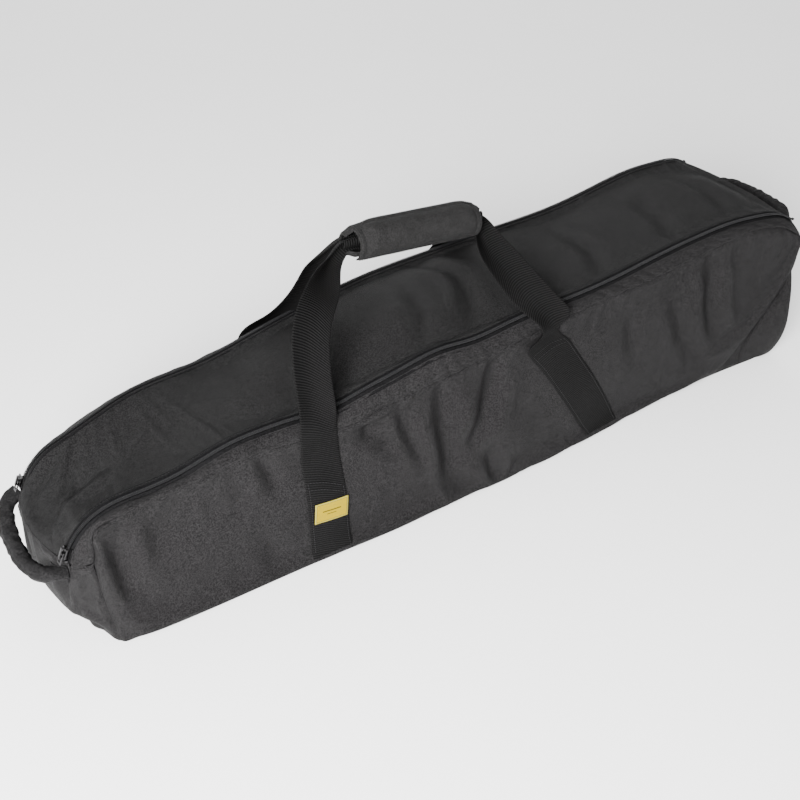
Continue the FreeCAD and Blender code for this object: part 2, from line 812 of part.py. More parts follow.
def make_end_handles():
    """A fabric tube round a soft core at each end, and the two tabs that it is sewn to."""
    for side, sign in (("left", -1), ("right", 1)):
        cover = (dim("handle_radius"), dim("handle_bore"))
        handle_piece(f"{side}_handle_cover", side, sign, cover)
        handle_piece(f"{side}_handle_core", side, sign, (dim("handle_core"),))
        angle = dim(f"{side}_end_lean")
        rise = dim(f"{side}_handle_height") - dim("base_thickness")
        along = rise / math.cos(math.radians(angle))
        frame = Placement(
            Vector(sign * (dim("base_length") / 2 + dim("wall_thickness")), 0, dim("base_thickness")),
            Rotation(Vector(0, 1, 0), sign * angle),
        )
        face = dim("wall_thickness") / 2
        xs = sorted((sign * face, sign * (face + dim("tab_thickness"))))
        tabs = []
        for name, y in (("front", dim("handle_front_y")), ("back", dim("handle_back_y"))):
            low = Vector(xs[0], y - dim("tab_width") / 2, along - dim("tab_below"))
            high = Vector(xs[1], y + dim("tab_width") / 2, along + dim("tab_above"))
            tabs.append(box_at(f"{side}_{name}_tab", frame, low, high))
        group(f"{side}_handle_tabs", tabs)


# ---------------------------------------------------------------- checks and export


def check_and_export():
    """Stops at any failed feature or broken shape, then writes one STEP file per node."""
    doc.recompute()
    for item in doc.Objects:
        if "Invalid" in item.State or "Error" in item.State:
            raise RuntimeError(f"{item.Label}: {item.State}")
    for node in nodes:
        shape = node.Shape
        if shape.isNull() or not shape.isValid() or not shape.Solids:
            raise RuntimeError(f"{node.Label}: its shape is null or broken")
    os.makedirs("parts", exist_ok=True)
    for node in nodes:
        node.Shape.exportStep(os.path.join("parts", f"{node.Label}.step"))
    print(f"{len(nodes)} nodes written")


fill_sheet()
LID_SPAN = (-499.0, dim("fold_x") - dim("fold_gap") / 2)
FLAP_SPAN = (dim("fold_x") + dim("fold_gap") / 2, 519.0)

make_base()
make_long_wall("front_panel", FRONT_SECTIONS, -1)
make_long_wall("back_panel", BACK_SECTIONS, 1)
make_end_panels()
make_lid()
make_zips()
make_end_stops()
make_slider("front", FRONT_PLAN[0][1])
make_slider("back", BACK_PLAN[0][1])
make_belts()
make_legs()
make_label()
make_grip()
make_end_handles()
check_and_export()
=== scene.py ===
"""The look of a soft telescope carry case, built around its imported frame. Metres; +Z up."""

import math

import bpy
import numpy as np
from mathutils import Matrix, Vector
from mathutils.bvhtree import BVHTree


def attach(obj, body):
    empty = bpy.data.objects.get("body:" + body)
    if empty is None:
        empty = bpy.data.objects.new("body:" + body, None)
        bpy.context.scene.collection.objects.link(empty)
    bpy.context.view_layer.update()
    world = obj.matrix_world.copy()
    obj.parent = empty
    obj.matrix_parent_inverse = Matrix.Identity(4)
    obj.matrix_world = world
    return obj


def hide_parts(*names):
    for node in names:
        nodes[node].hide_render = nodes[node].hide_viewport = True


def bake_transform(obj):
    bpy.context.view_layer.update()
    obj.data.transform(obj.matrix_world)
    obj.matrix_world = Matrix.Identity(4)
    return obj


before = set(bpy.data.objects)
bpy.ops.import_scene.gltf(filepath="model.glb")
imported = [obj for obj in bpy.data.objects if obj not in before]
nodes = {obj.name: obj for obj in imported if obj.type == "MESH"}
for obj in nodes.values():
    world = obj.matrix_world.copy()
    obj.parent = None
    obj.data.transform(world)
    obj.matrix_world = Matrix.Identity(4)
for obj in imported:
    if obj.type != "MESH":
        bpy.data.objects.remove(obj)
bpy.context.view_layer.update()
scene = bpy.context.scene

TWO_PI = 2 * math.pi


# ---------------------------------------------------------------- curves and grids


def lengths(points):
    """How far along a line each of its points is."""
    return np.concatenate([[0], np.cumsum(np.linalg.norm(np.diff(points, axis=0), axis=1))])


def even(points, count):
    """The same line with evenly spaced points."""
    along = lengths(points)
    at = np.linspace(0, along[-1], count)
    return np.stack([np.interp(at, along, points[:, k]) for k in range(3)], axis=1)


def straight(a, b, count):
    return np.array(a) + (np.array(b) - np.array(a)) * np.linspace(0, 1, count)[:, None]


def cubic(knots, values, at):
    """A natural cubic spline through the values at the knots, read at other places."""
    knots, values, at = np.asarray(knots, float), np.asarray(values, float), np.asarray(at, float)
    steps = np.diff(knots)
    count = len(knots)
    matrix = np.eye(count)
    right = np.zeros_like(values)
    for i in range(1, count - 1):
        matrix[i, i - 1 : i + 2] = steps[i - 1], 2 * (steps[i - 1] + steps[i]), steps[i]
        before = (values[i] - values[i - 1]) / steps[i - 1]
        right[i] = 6 * ((values[i + 1] - values[i]) / steps[i] - before)
    bends = np.linalg.solve(matrix, right)
    i = np.clip(np.searchsorted(knots, at) - 1, 0, count - 2)
    step = steps[i]
    t = (at - knots[i]) / step
    if values.ndim > 1:
        step, t = step[:, None], t[:, None]
    low, high = values[i], values[i + 1]
    curved = (1 - t) ** 3 - (1 - t), t**3 - t
    return (1 - t) * low + t * high + step**2 / 6 * (curved[0] * bends[i] + curved[1] * bends[i + 1])


def path(points, count):
    """Points evenly spaced along a smooth curve through the given ones."""
    points = np.array(points, float)
    length = lengths(points)
    return even(cubic(length, points, np.linspace(0, length[-1], 40 * len(points))), count)


def table(pairs, at):
    """A smooth value read from (place, value) pairs."""
    places, values = zip(*pairs)
    return cubic(places, values, np.clip(at, places[0], places[-1]))


def length_of(points):
    return float(np.linalg.norm(np.diff(points, axis=0), axis=1).sum())


def smooth(value, low, high):
    t = np.clip((value - low) / (high - low), 0, 1)
    return t * t * (3 - 2 * t)


def unit(vectors):
    return vectors / np.maximum(np.linalg.norm(vectors, axis=-1, keepdims=True), 1e-12)


def patch(low, high, first, last):
    """A grid that meets four boundary curves: low and high along u, first and last along v."""
    count_u, count_v = len(low), len(first)
    u = np.linspace(0, 1, count_u)[:, None, None]
    v = np.linspace(0, 1, count_v)[None, :, None]
    across = (1 - v) * low[:, None] + v * high[:, None]
    along = (1 - u) * first[None] + u * last[None]
    corners = (1 - u) * ((1 - v) * low[0] + v * high[0]) + u * ((1 - v) * low[-1] + v * high[-1])
    return across + along - corners


def grid_normals(grid):
    return unit(np.cross(np.gradient(grid, axis=0), np.gradient(grid, axis=1)))


def lattice_noise(u, v, scale, seed):
    """Smooth noise from -1 to 1 on a square lattice of the given spacing."""
    rng = np.random.default_rng(seed)
    values = rng.uniform(-1, 1, (97, 97))
    x, y = np.asarray(u) / scale + 31.7, np.asarray(v) / scale + 17.3
    i, j = np.floor(x).astype(int), np.floor(y).astype(int)
    s, t = x - i, y - j
    s, t = s * s * (3 - 2 * s), t * t * (3 - 2 * t)
    i, j = i % 96, j % 96
    return (
        (1 - s) * (1 - t) * values[i, j]
        + s * (1 - t) * values[i + 1, j]
        + (1 - s) * t * values[i, j + 1]
        + s * t * values[i + 1, j + 1]
    )


def distance_to(points, line):
    """Distance from each point to a polyline, and how far along it the nearest place is, 0 to 1."""
    best = np.full(points.shape[:-1], 1e9)
    where = np.zeros(points.shape[:-1])
    for k, (a, b) in enumerate(zip(line[:-1], line[1:])):
        step = b - a
        t = np.clip(((points - a) @ step) / max(step @ step, 1e-12), 0, 1)
        gap = np.linalg.norm(points - a - t[..., None] * step, axis=-1)
        closer = gap < best
        best = np.where(closer, gap, best)
        where = np.where(closer, (k + t) / (len(line) - 1), where)
    return best, where


def fold(flat, line, depth, width, lips=0.3):
    """A crease along a line drawn on a panel: a valley with a soft lip on each side, fading at its ends."""
    gap, where = distance_to(flat, path([(*p, 0) for p in line], 24)[:, :2])
    fade = np.sin(np.pi * np.clip(where, 0.02, 0.98)) ** 0.5
    valley = np.exp(-((gap / width) ** 2))
    lip = np.exp(-(((gap - 2 * width) / width) ** 2))
    return depth * fade * (lips * lip - valley)


def dent(flat, centre, size, depth, turn=0.0):
    """An oval dimple, or with a negative depth a swelling."""
    a = math.radians(turn)
    x, z = flat[..., 0] - centre[0], flat[..., 1] - centre[1]
    p, q = x * math.cos(a) + z * math.sin(a), z * math.cos(a) - x * math.sin(a)
    return -depth * np.exp(-((p / size[0]) ** 2) - (q / size[1]) ** 2)


# ---------------------------------------------------------------- meshes


def mesh_object(name, vertices, faces, uvs=None, smooth_shading=True):
    """uvs, where given, is one (u, v) in metres per vertex."""
    mesh = bpy.data.meshes.new(name)
    mesh.from_pydata(np.asarray(vertices, float).tolist(), [], faces)
    if uvs is not None:
        layer = mesh.uv_layers.new(name="UVMap")
        index = np.zeros(len(mesh.loops), int)
        mesh.loops.foreach_get("vertex_index", index)
        layer.data.foreach_set("uv", np.asarray(uvs, float)[index].ravel())
    mesh.polygons.foreach_set("use_smooth", [smooth_shading] * len(mesh.polygons))
    mesh.update()
    obj = bpy.data.objects.new(name, mesh)
    scene.collection.objects.link(obj)
    return obj


def grid_faces(count_u, count_v, start=0, wrap_u=False, wrap_v=False):
    rows = range(count_u if wrap_u else count_u - 1)
    columns = range(count_v if wrap_v else count_v - 1)
    return [
        (
            start + i * count_v + j,
            start + (i + 1) % count_u * count_v + j,
            start + (i + 1) % count_u * count_v + (j + 1) % count_v,
            start + i * count_v + (j + 1) % count_v,
        )
        for i in rows
        for j in columns
    ]


def crossed(u, v):
    """Every pair of a value from u and one from v, row by row."""
    return np.stack(np.meshgrid(u, v, indexing="ij"), axis=-1).reshape(-1, 2)


def grid_uvs(grid):
    """Length in metres along and across a grid, so that a weave keeps its size."""
    middle_u, middle_v = grid[:, grid.shape[1] // 2], grid[grid.shape[0] // 2]
    return crossed(lengths(middle_u), lengths(middle_v))


def finish_piece(obj, material, body=None):
    obj.data.materials.clear()
    obj.data.materials.append(material)
    if body:
        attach(obj, body)
    return obj


def sheet_piece(name, grid, material, body=None):
    faces = grid_faces(grid.shape[0], grid.shape[1])
    obj = mesh_object(name, grid.reshape(-1, 3), faces, grid_uvs(grid))
    return finish_piece(obj, material, body)


def thick_piece(name, grid, thickness, material, body=None, normals=None):
    """A closed piece round a middle surface, with an outer and an inner face joined round its edge."""
    normals = grid_normals(grid) if normals is None else normals
    half = np.asarray(thickness)[..., None] / 2 if np.ndim(thickness) else thickness / 2
    outer, inner = grid + normals * half, grid - normals * half
    count_u, count_v = grid.shape[:2]
    size = count_u * count_v
    faces = grid_faces(count_u, count_v)
    faces += [face[::-1] for face in grid_faces(count_u, count_v, size)]
    ring = [i * count_v for i in range(count_u)]
    ring += [(count_u - 1) * count_v + j for j in range(1, count_v)]
    ring += [i * count_v + count_v - 1 for i in range(count_u - 2, -1, -1)]
    ring += [j for j in range(count_v - 2, 0, -1)]
    for a, b in zip(ring, ring[1:] + ring[:1]):
        faces.append((b, a, a + size, b + size))
    uv = grid_uvs(grid)
    vertices = np.concatenate([outer.reshape(-1, 3), inner.reshape(-1, 3)])
    obj = mesh_object(name, vertices, faces, np.concatenate([uv, uv]))
    return finish_piece(obj, material, body)


def tube_arrays(points, radius_a, radius_b, up, sides, start):
    """Vertices, faces and uvs of a tube along points. up is the direction of the second radius."""
    tangent = unit(np.gradient(points, axis=0))
    up = np.broadcast_to(np.asarray(up, float), points.shape)
    side = unit(np.cross(tangent, up))
    top = np.cross(side, tangent)
    angles = np.linspace(0, TWO_PI, sides, endpoint=False)
    ring_a = np.cos(angles)[None, :, None] * side[:, None] * np.reshape(radius_a, (-1, 1, 1))
    ring_b = np.sin(angles)[None, :, None] * top[:, None] * np.reshape(radius_b, (-1, 1, 1))
    vertices = (points[:, None] + ring_a + ring_b).reshape(-1, 3)
    faces = grid_faces(len(points), sides, start, wrap_v=True)
    last = start + (len(points) - 1) * sides
    faces.append(tuple(range(start, start + sides)))
    faces.append(tuple(range(last + sides - 1, last - 1, -1)))
    return vertices, faces, crossed(lengths(points), angles * float(np.mean(radius_a)))


STITCH_SHARE, THREAD_RADIUS, THREAD_SIDES = 0.68, 0.00032, 4


def stitches(name, lines, pitch=0.0034):
    """Rows of raised thread along lines. Each line is (points, outward directions)."""
    vertices, faces = [], []
    count = 0
    for points, outward in lines:
        total = length_of(points)
        number = max(int(total / pitch), 1)
        along = lengths(points)
        outward = np.broadcast_to(outward, points.shape)
        for k in range(number):
            at = np.linspace(k, k + STITCH_SHARE, 4) * total / number
            spot = np.stack([np.interp(at, along, points[:, c]) for c in range(3)], axis=1)
            out = np.stack([np.interp(at, along, outward[:, c]) for c in range(3)], axis=1)
            spot = spot + out * (np.array([-0.2, 1.0, 1.0, -0.2])[:, None] * THREAD_RADIUS)
            v, f, _ = tube_arrays(spot, THREAD_RADIUS, THREAD_RADIUS, out, THREAD_SIDES, count)
            vertices.append(v)
            faces += f
            count += len(v)
    return finish_piece(mesh_object(name, np.concatenate(vertices), faces), THREAD)


def subdivide(obj):
    """Replaces a piece's mesh by one with each face split in four and smoothed."""
    modifier = obj.modifiers.new("subdivision", "SUBSURF")
    modifier.levels = modifier.render_levels = 1
    modifier.boundary_smooth = "PRESERVE_CORNERS"
    graph = bpy.context.evaluated_depsgraph_get()
    mesh = bpy.data.meshes.new_from_object(obj.evaluated_get(graph))
    obj.modifiers.clear()
    obj.data = mesh


def coordinates(obj):
    data = np.zeros(len(obj.data.vertices) * 3)
    obj.data.vertices.foreach_get("co", data)
    return data.reshape(-1, 3)


def set_coordinates(obj, data):
    obj.data.vertices.foreach_set("co", np.asarray(data, float).ravel())
    obj.data.update()


def settle(pieces, frames):
    """Lets several fabric pieces settle together. Each is (piece, held shares, growth, gravity, cap)."""
    starts = []
    for obj, held, growth, gravity, _ in pieces:
        starts.append(coordinates(obj))
        group = obj.vertex_groups.new(name="held")
        for index in np.nonzero(held > 0.01)[0]:
            group.add([int(index)], float(min(held[index], 1.0)), "REPLACE")
        modifier = obj.modifiers.new("cloth", "CLOTH")
        settings = modifier.settings
        settings.quality = 5
        settings.mass = 0.12
        settings.air_damping = 4.0
        settings.tension_stiffness = settings.compression_stiffness = 22.0
        settings.shear_stiffness = 9.0
        settings.bending_stiffness = 0.9
        settings.vertex_group_mass = "held"
        settings.shrink_min = settings.shrink_max = -growth
        settings.effector_weights.gravity = gravity
        modifier.collision_settings.use_collision = False
        modifier.point_cache.frame_start, modifier.point_cache.frame_end = 1, frames
    for number in range(1, frames + 1):
        scene.frame_set(number)
    graph = bpy.context.evaluated_depsgraph_get()
    results = []
    for obj, *_ in pieces:
        result = np.zeros(len(obj.data.vertices) * 3)
        obj.evaluated_get(graph).data.vertices.foreach_get("co", result)
        results.append(result.reshape(-1, 3))
    for (obj, _, _, _, cap), start, result in zip(pieces, starts, results):
        obj.modifiers.clear()
        obj.vertex_groups.clear()
        move = result - start
        size = np.linalg.norm(move, axis=1, keepdims=True)
        set_coordinates(obj, start + move * np.minimum(1.0, cap / np.maximum(size, 1e-9)))
    scene.frame_set(1)


# ---------------------------------------------------------------- materials


LAST_INPUT = 2  # the third input of a Multiply Add node, which is what it adds


def new_material(name):
    material = bpy.data.materials.new(name)
    material.use_nodes = True
    tree = material.node_tree
    return material, tree, tree.nodes["Principled BSDF"]


def node(tree, kind, inputs=(), **settings):
    """A shader node with its inputs set to values or linked to other nodes' outputs."""
    made = tree.nodes.new(kind)
    for key, value in settings.items():
        setattr(made, key, value)
    for key, value in dict(inputs).items():
        if isinstance(value, bpy.types.NodeSocket):
            tree.links.new(value, made.inputs[key])
        else:
            made.inputs[key].default_value = value
    return made


def maths(tree, operation, a, b=0.0):
    return node(tree, "ShaderNodeMath", {0: a, 1: b}, operation=operation).outputs[0]


def thread_wave(tree, coordinate, pitch):
    """A sine from -1 to 1 that repeats every pitch metres."""
    return maths(tree, "SINE", maths(tree, "MULTIPLY", coordinate, TWO_PI / pitch))


def noise_of(tree, vector, scale, detail=2.0):
    inputs = {"Vector": vector, "Scale": scale, "Detail": detail, "Roughness": 0.6}
    return node(tree, "ShaderNodeTexNoise", inputs).outputs["Fac"]


def place_of(tree):
    return node(tree, "ShaderNodeTexCoord").outputs["Object"]


def cloth_axes(tree):
    """Metres along and across a piece's own surface."""
    uv = node(tree, "ShaderNodeTexCoord").outputs["UV"]
    split = node(tree, "ShaderNodeSeparateXYZ", {"Vector": uv})
    return split.outputs["X"], split.outputs["Y"]


def scaled(tree, value, factor, offset):
    made = maths(tree, "MULTIPLY_ADD", value, factor)
    made.node.inputs[LAST_INPUT].default_value = offset
    return made


def dress(tree, shader, colour, relief, strength, distance, inputs):
    """Gives a surface its colour, its relief and its other inputs."""
    bump = node(tree, "ShaderNodeBump", {"Height": relief, "Strength": strength, "Distance": distance})
    for key, value in {"Base Color": colour, "Normal": bump.outputs[0], **inputs}.items():
        if isinstance(value, bpy.types.NodeSocket):
            tree.links.new(value, shader.inputs[key])
        else:
            shader.inputs[key].default_value = value


def blend_colours(tree, factor, first, second):
    mix = node(tree, "ShaderNodeMix", data_type="RGBA")
    for socket, value in ((mix.inputs[0], factor), (mix.inputs[6], first), (mix.inputs[7], second)):
        if isinstance(value, bpy.types.NodeSocket):
            tree.links.new(value, socket)
        else:
            socket.default_value = (*value, 1)
    return mix.outputs[2]


def woven(name, dark, light, pitch, height, sheen):
    """Plain-woven cloth: crossing threads at their true pitch, uneven yarn and faint cloudy wear. Its colour
    is lighter where the threads cross high and darker in the hollows between them, which is painted shade.
    """
    material, tree, shader = new_material(name)
    x, y = cloth_axes(tree)
    place = place_of(tree)
    cross = maths(tree, "MULTIPLY", thread_wave(tree, x, pitch), thread_wave(tree, y, pitch))
    yarn = noise_of(tree, place, 1500.0)
    cloud = noise_of(tree, place, 9.0, 1.0)
    speckle = noise_of(tree, place, 820.0, 0.0)
    relief = maths(tree, "ADD", cross, maths(tree, "MULTIPLY", yarn, 2.0))
    relief = maths(tree, "ADD", relief, maths(tree, "MULTIPLY", speckle, 0.8))
    # painted shade from the thread crossings, with random cloudy wear and yarn speckle added to it below
    painted_shade_and_tone = maths(tree, "MULTIPLY", cross, 0.12)
    for source, weight in ((cloud, 0.14), (speckle, 2.6)):
        centred = maths(tree, "SUBTRACT", source, 0.5)
        painted_shade_and_tone = maths(tree, "ADD", painted_shade_and_tone, maths(tree, "MULTIPLY", centred, weight))
    painted_shade_and_tone = maths(tree, "ADD", painted_shade_and_tone, 0.5)
    dress(tree, shader, blend_colours(tree, painted_shade_and_tone, dark, light), relief, 0.6, height, {
        "Roughness": scaled(tree, speckle, 0.2, 0.55 - 0.1),
        "Specular IOR Level": 0.03,
        "Sheen Weight": sheen,
        "Sheen Roughness": 0.45,
    })
    return material


def ribbed(name, dark, light, rib_pitch, height):
    """Heavy webbing: ribs straight across the strap, with fine columns of yarn along it. Its colour follows
    the relief: the grooves between ribs are painted shade, and the fuzz gives uneven yarn tone.
    """
    material, tree, shader = new_material(name)
    x, y = cloth_axes(tree)
    rib = thread_wave(tree, x, rib_pitch)
    column = thread_wave(tree, y, rib_pitch * 0.55)
    fuzz = noise_of(tree, place_of(tree), 520.0)
    relief = maths(tree, "ADD", rib, maths(tree, "MULTIPLY", column, 0.35))
    relief = maths(tree, "ADD", relief, fuzz)
    # painted shade: rib tops lighter and grooves darker, read from the relief height
    colour = blend_colours(tree, scaled(tree, relief, 0.3, 0.25), dark, light)
    dress(tree, shader, colour, relief, 0.8, height, {
        "Roughness": 0.6, "Specular IOR Level": 0.03, "Sheen Weight": 0.0,
    })
    return material


def metal(name, colour, roughness):
    """Plated metal with fine tumbling marks and handling wear."""
    material, tree, shader = new_material(name)
    marks = noise_of(tree, place_of(tree), 900.0, 3.0)
    worn = tuple(min(1.0, 1.5 * c) for c in colour)
    dress(tree, shader, blend_colours(tree, marks, colour, worn), marks, 0.15, 0.0001, {
        "Roughness": scaled(tree, marks, 0.25, roughness - 0.12), "Metallic": 1.0,
    })
    return material


def plastic(name, dark, light, roughness, grain=600.0, gloss=0.5):
    """Moulded or extruded nylon with a fine grain."""
    material, tree, shader = new_material(name)
    marks = noise_of(tree, place_of(tree), grain, 3.0)
    dress(tree, shader, blend_colours(tree, marks, dark, light), marks, 0.2, 0.0001, {
        "Roughness": roughness, "Specular IOR Level": gloss,
    })
    return material


SHELL = woven("shell_cloth", (0.0042, 0.0040, 0.0041), (0.0166, 0.0158, 0.0162), 0.0011, 0.00035, 0.008)
# painted shade: the lid is the shell's own fabric, coloured darker because its top faces away from the low
# front light
SHADED_LID_CLOTH = woven("lid_cloth_painted_shade", (0.0034, 0.0033, 0.0034), (0.0140, 0.0137, 0.0138), 0.0011, 0.00035, 0.008)
GRIP_CLOTH = woven("grip_cloth", (0.0060, 0.0059, 0.0059), (0.0165, 0.0160, 0.0160), 0.0009, 0.00025, 0.012)
TAPE = woven("zip_tape", (0.0018, 0.0018, 0.0019), (0.0068, 0.0066, 0.0070), 0.0007, 0.00012, 0.0)
WEBBING = ribbed("webbing", (0.0014, 0.0014, 0.0014), (0.0105, 0.0102, 0.0102), 0.0029, 0.0005)
COIL = plastic("zip_coil", (0.006, 0.0059, 0.0063), (0.017, 0.0168, 0.0177), 0.35, 600.0, 0.16)
THREAD = plastic("sewing_thread", (0.008, 0.0078, 0.008), (0.020, 0.0195, 0.020), 0.5, 600.0, 0.08)
NICKEL = metal("black_nickel", (0.030, 0.029, 0.030), 0.30)
BOARD = plastic("stiff_board", (0.05, 0.048, 0.045), (0.09, 0.085, 0.08), 0.7, 90.0)
BINDING = woven("binding", (0.0045, 0.0043, 0.0045), (0.0150, 0.0145, 0.0148), 0.0008, 0.0002, 0.006)
HOOK = plastic("hook_and_loop", (0.0035, 0.0033, 0.0035), (0.012, 0.0115, 0.012), 0.8, 1500.0, 0.02)


# ---------------------------------------------------------------- lines of the case

# The front zip, from its left end to its right end. It dips under each carry strap.
FRONT_ZIP = path(
    [
        (-0.4764, -0.084, 0.1127), (-0.4725, -0.084, 0.1233), (-0.4634, -0.084, 0.1377),
        (-0.4461, -0.084, 0.1522), (-0.426, -0.084, 0.1597), (-0.390, -0.0865, 0.164),
        (-0.355, -0.089, 0.169), (-0.302, -0.091, 0.183), (-0.260, -0.091, 0.1855),
        (-0.217, -0.091, 0.183), (-0.178, -0.091, 0.1805), (-0.145, -0.091, 0.186),
        (-0.095, -0.091, 0.1945), (-0.045, -0.091, 0.2015), (0.0, -0.091, 0.198),
        (0.050, -0.091, 0.202), (0.130, -0.091, 0.2045), (0.200, -0.091, 0.208),
        (0.260, -0.091, 0.2155), (0.335, -0.091, 0.2225), (0.395, -0.0925, 0.2245),
        (0.435, -0.0965, 0.2225), (0.466, -0.100, 0.2165), (0.4869, -0.1025, 0.2046),
    ],
    341,
)

# The back zip.
BACK_ZIP = path(
    [
        (-0.4764, 0.042, 0.1127), (-0.4725, 0.042, 0.1233), (-0.4634, 0.042, 0.1377),
        (-0.4461, 0.042, 0.1522), (-0.426, 0.042, 0.1602), (-0.385, 0.048, 0.170),
        (-0.345, 0.055, 0.1765), (-0.300, 0.062, 0.1755), (-0.250, 0.067, 0.175),
        (-0.200, 0.073, 0.180), (-0.100, 0.084, 0.191), (-0.030, 0.0845, 0.200),
        (0.060, 0.085, 0.203), (0.160, 0.086, 0.2045), (0.250, 0.0865, 0.206),
        (0.320, 0.087, 0.2145), (0.380, 0.0873, 0.222), (0.430, 0.0877, 0.2205),
        (0.466, 0.088, 0.215), (0.4869, 0.088, 0.2046),
    ],
    341,
)

# The seam between the front facing and the front panel. At its left end it steps down the
# corner, where the facing ends in a small four-sided piece.
FRONT_SEAM_LEFT = [(-0.4755, -0.0865, 0.1085), (-0.466, -0.0925, 0.1095), (-0.4545, -0.0985, 0.112)]
FRONT_CORNER = [(-0.4525, -0.0998, 0.118), (-0.4515, -0.1, 0.135), (-0.449, -0.1005, 0.150)]
FRONT_SEAM_TOP = [
    (-0.443, -0.101, 0.1545), (-0.415, -0.102, 0.1595), (-0.378, -0.102, 0.1625),
    (-0.341, -0.103, 0.165), (-0.300, -0.104, 0.171), (-0.266, -0.104, 0.1695),
    (-0.222, -0.104, 0.165), (-0.178, -0.104, 0.160), (-0.130, -0.104, 0.1645),
    (-0.080, -0.104, 0.1705), (0.0, -0.104, 0.178), (0.080, -0.104, 0.187),
    (0.155, -0.104, 0.1945), (0.205, -0.104, 0.197), (0.254, -0.104, 0.1985),
    (0.300, -0.105, 0.204), (0.345, -0.106, 0.2095), (0.400, -0.108, 0.2155),
    (0.440, -0.110, 0.212), (0.475, -0.111, 0.199), (0.503, -0.109, 0.178),
]

# The same seam at the back.
BACK_SEAM_LEFT = [(-0.4755, 0.0455, 0.1065), (-0.467, 0.054, 0.1070), (-0.4585, 0.061, 0.108)]
BACK_CORNER = [(-0.456, 0.063, 0.111), (-0.453, 0.065, 0.116), (-0.448, 0.067, 0.120)]
BACK_SEAM_TOP = [
    (-0.440, 0.069, 0.125), (-0.415, 0.072, 0.137), (-0.385, 0.077, 0.145), (-0.345, 0.082, 0.151),
    (-0.300, 0.089, 0.153), (-0.250, 0.094, 0.153), (-0.200, 0.098, 0.156),
    (-0.100, 0.104, 0.166), (0.0, 0.105, 0.174), (0.120, 0.106, 0.179),
    (0.250, 0.106, 0.182), (0.340, 0.106, 0.194), (0.420, 0.107, 0.198),
    (0.470, 0.106, 0.188), (0.500, 0.104, 0.172),
]

FRONT_SEAM = path([*FRONT_SEAM_LEFT, *FRONT_CORNER, *FRONT_SEAM_TOP], 901)
BACK_SEAM = path([*BACK_SEAM_LEFT, *BACK_CORNER, *BACK_SEAM_TOP], 901)

# Edges of the end panels, from the floor up.
FLOOR = 0.0026
FRONT_LEFT_EDGE = [
    (-0.446, -0.107, FLOOR), (-0.449, -0.104, 0.030), (-0.4525, -0.102, 0.062), (-0.454, -0.1005, 0.092),
]
BACK_LEFT_EDGE = [(-0.448, 0.102, FLOOR), (-0.452, 0.096, 0.035), (-0.455, 0.083, 0.075)]
FRONT_RIGHT_EDGE = [
    (0.436, -0.102, FLOOR), (0.441, -0.106, 0.040), (0.457, -0.109, 0.077),
    (0.478, -0.111, 0.108), (0.497, -0.112, 0.138),
]
BACK_RIGHT_EDGE = [(0.447, 0.103, FLOOR), (0.462, 0.108, 0.050), (0.482, 0.109, 0.110), (0.494, 0.107, 0.145)]

# The long edges of the base, where the walls meet the floor.
FRONT_FOOT = [
    (-0.446, -0.107, FLOOR), (-0.425, -0.1125, FLOOR), (-0.380, -0.117, FLOOR),
    (-0.300, -0.1185, FLOOR), (-0.200, -0.120, FLOOR), (-0.120, -0.123, FLOOR),
    (-0.020, -0.120, FLOOR), (0.100, -0.119, FLOOR), (0.170, -0.1155, FLOOR),
    (0.240, -0.109, FLOOR), (0.330, -0.1025, FLOOR), (0.436, -0.102, FLOOR),
]
BACK_FOOT = [
    (-0.448, 0.102, FLOOR), (-0.380, 0.109, FLOOR), (-0.200, 0.113, FLOOR),
    (0.0, 0.115, FLOOR), (0.200, 0.113, FLOOR), (0.380, 0.108, FLOOR), (0.447, 0.103, FLOOR),
]


# ---------------------------------------------------------------- the fabric shell


def between(line, start, end):
    """The stretch of a line from the place nearest to one point to the place nearest to another."""
    first, last = (int(np.argmin(np.linalg.norm(line - np.array(spot), axis=1))) for spot in (start, end))
    return line[first : last + 1] if first <= last else line[last : first + 1][::-1]


def joined(*lines):
    """Lines laid end to end."""
    return np.concatenate([np.array(line) for line in lines])


def edge_roll(grid, sides, depth=0.0016, reach=0.005):
    """Raises a soft lip just inside a panel's sewn edges, so that every seam is a groove."""
    normal = grid_normals(grid)
    steps_u = np.linalg.norm(np.diff(grid, axis=0), axis=2).mean(axis=1)
    steps_v = np.linalg.norm(np.diff(grid, axis=1), axis=2).mean(axis=0)
    from_first = np.concatenate([[0], np.cumsum(steps_u)])[:, None]
    from_low = np.concatenate([[0], np.cumsum(steps_v)])[None]
    gaps = {
        "first": from_first,
        "last": from_first.max() - from_first,
        "low": from_low,
        "high": from_low.max() - from_low,
    }
    move = np.zeros(grid.shape[:2])
    for side in sides:
        share = gaps[side] / reach
        move = move + depth * share * np.exp(1 - share)
    return grid + normal * move[..., None]


def pucker(grid, side, height, reach, seed):
    """Small gathers along a seam, which die out into the panel."""
    normal = grid_normals(grid)
    across = np.linalg.norm(np.diff(grid, axis=1), axis=2).mean(axis=0)
    gap = np.concatenate([[0], np.cumsum(across)])[None]
    gap = gap.max() - gap if side == "high" else gap
    line = grid[:, -1] if side == "high" else grid[:, 0]
    along = lengths(line)[:, None]
    wave = lattice_noise(along + 0.35 * gap, 0 * along, 0.009, seed)
    wave = wave + 0.6 * lattice_noise(along - 0.2 * gap, 0 * along, 0.021, seed + 1)
    fade = np.exp(-gap / reach) * (1 - np.exp(-gap / 0.0025))
    return grid + normal * (1.5 * height * wave * fade)[..., None]


def creases(flat, shapes, noise):
    """A panel's relief. A shape that starts with a list of points is a fold, and any other a dimple."""
    relief = 0
    for shape in shapes:
        relief = relief + (fold if isinstance(shape[0], list) else dent)(flat, *shape)
    for height, spacing, seed in noise:
        relief = relief + height * lattice_noise(flat[..., 0], flat[..., 1], spacing, seed)
    return relief


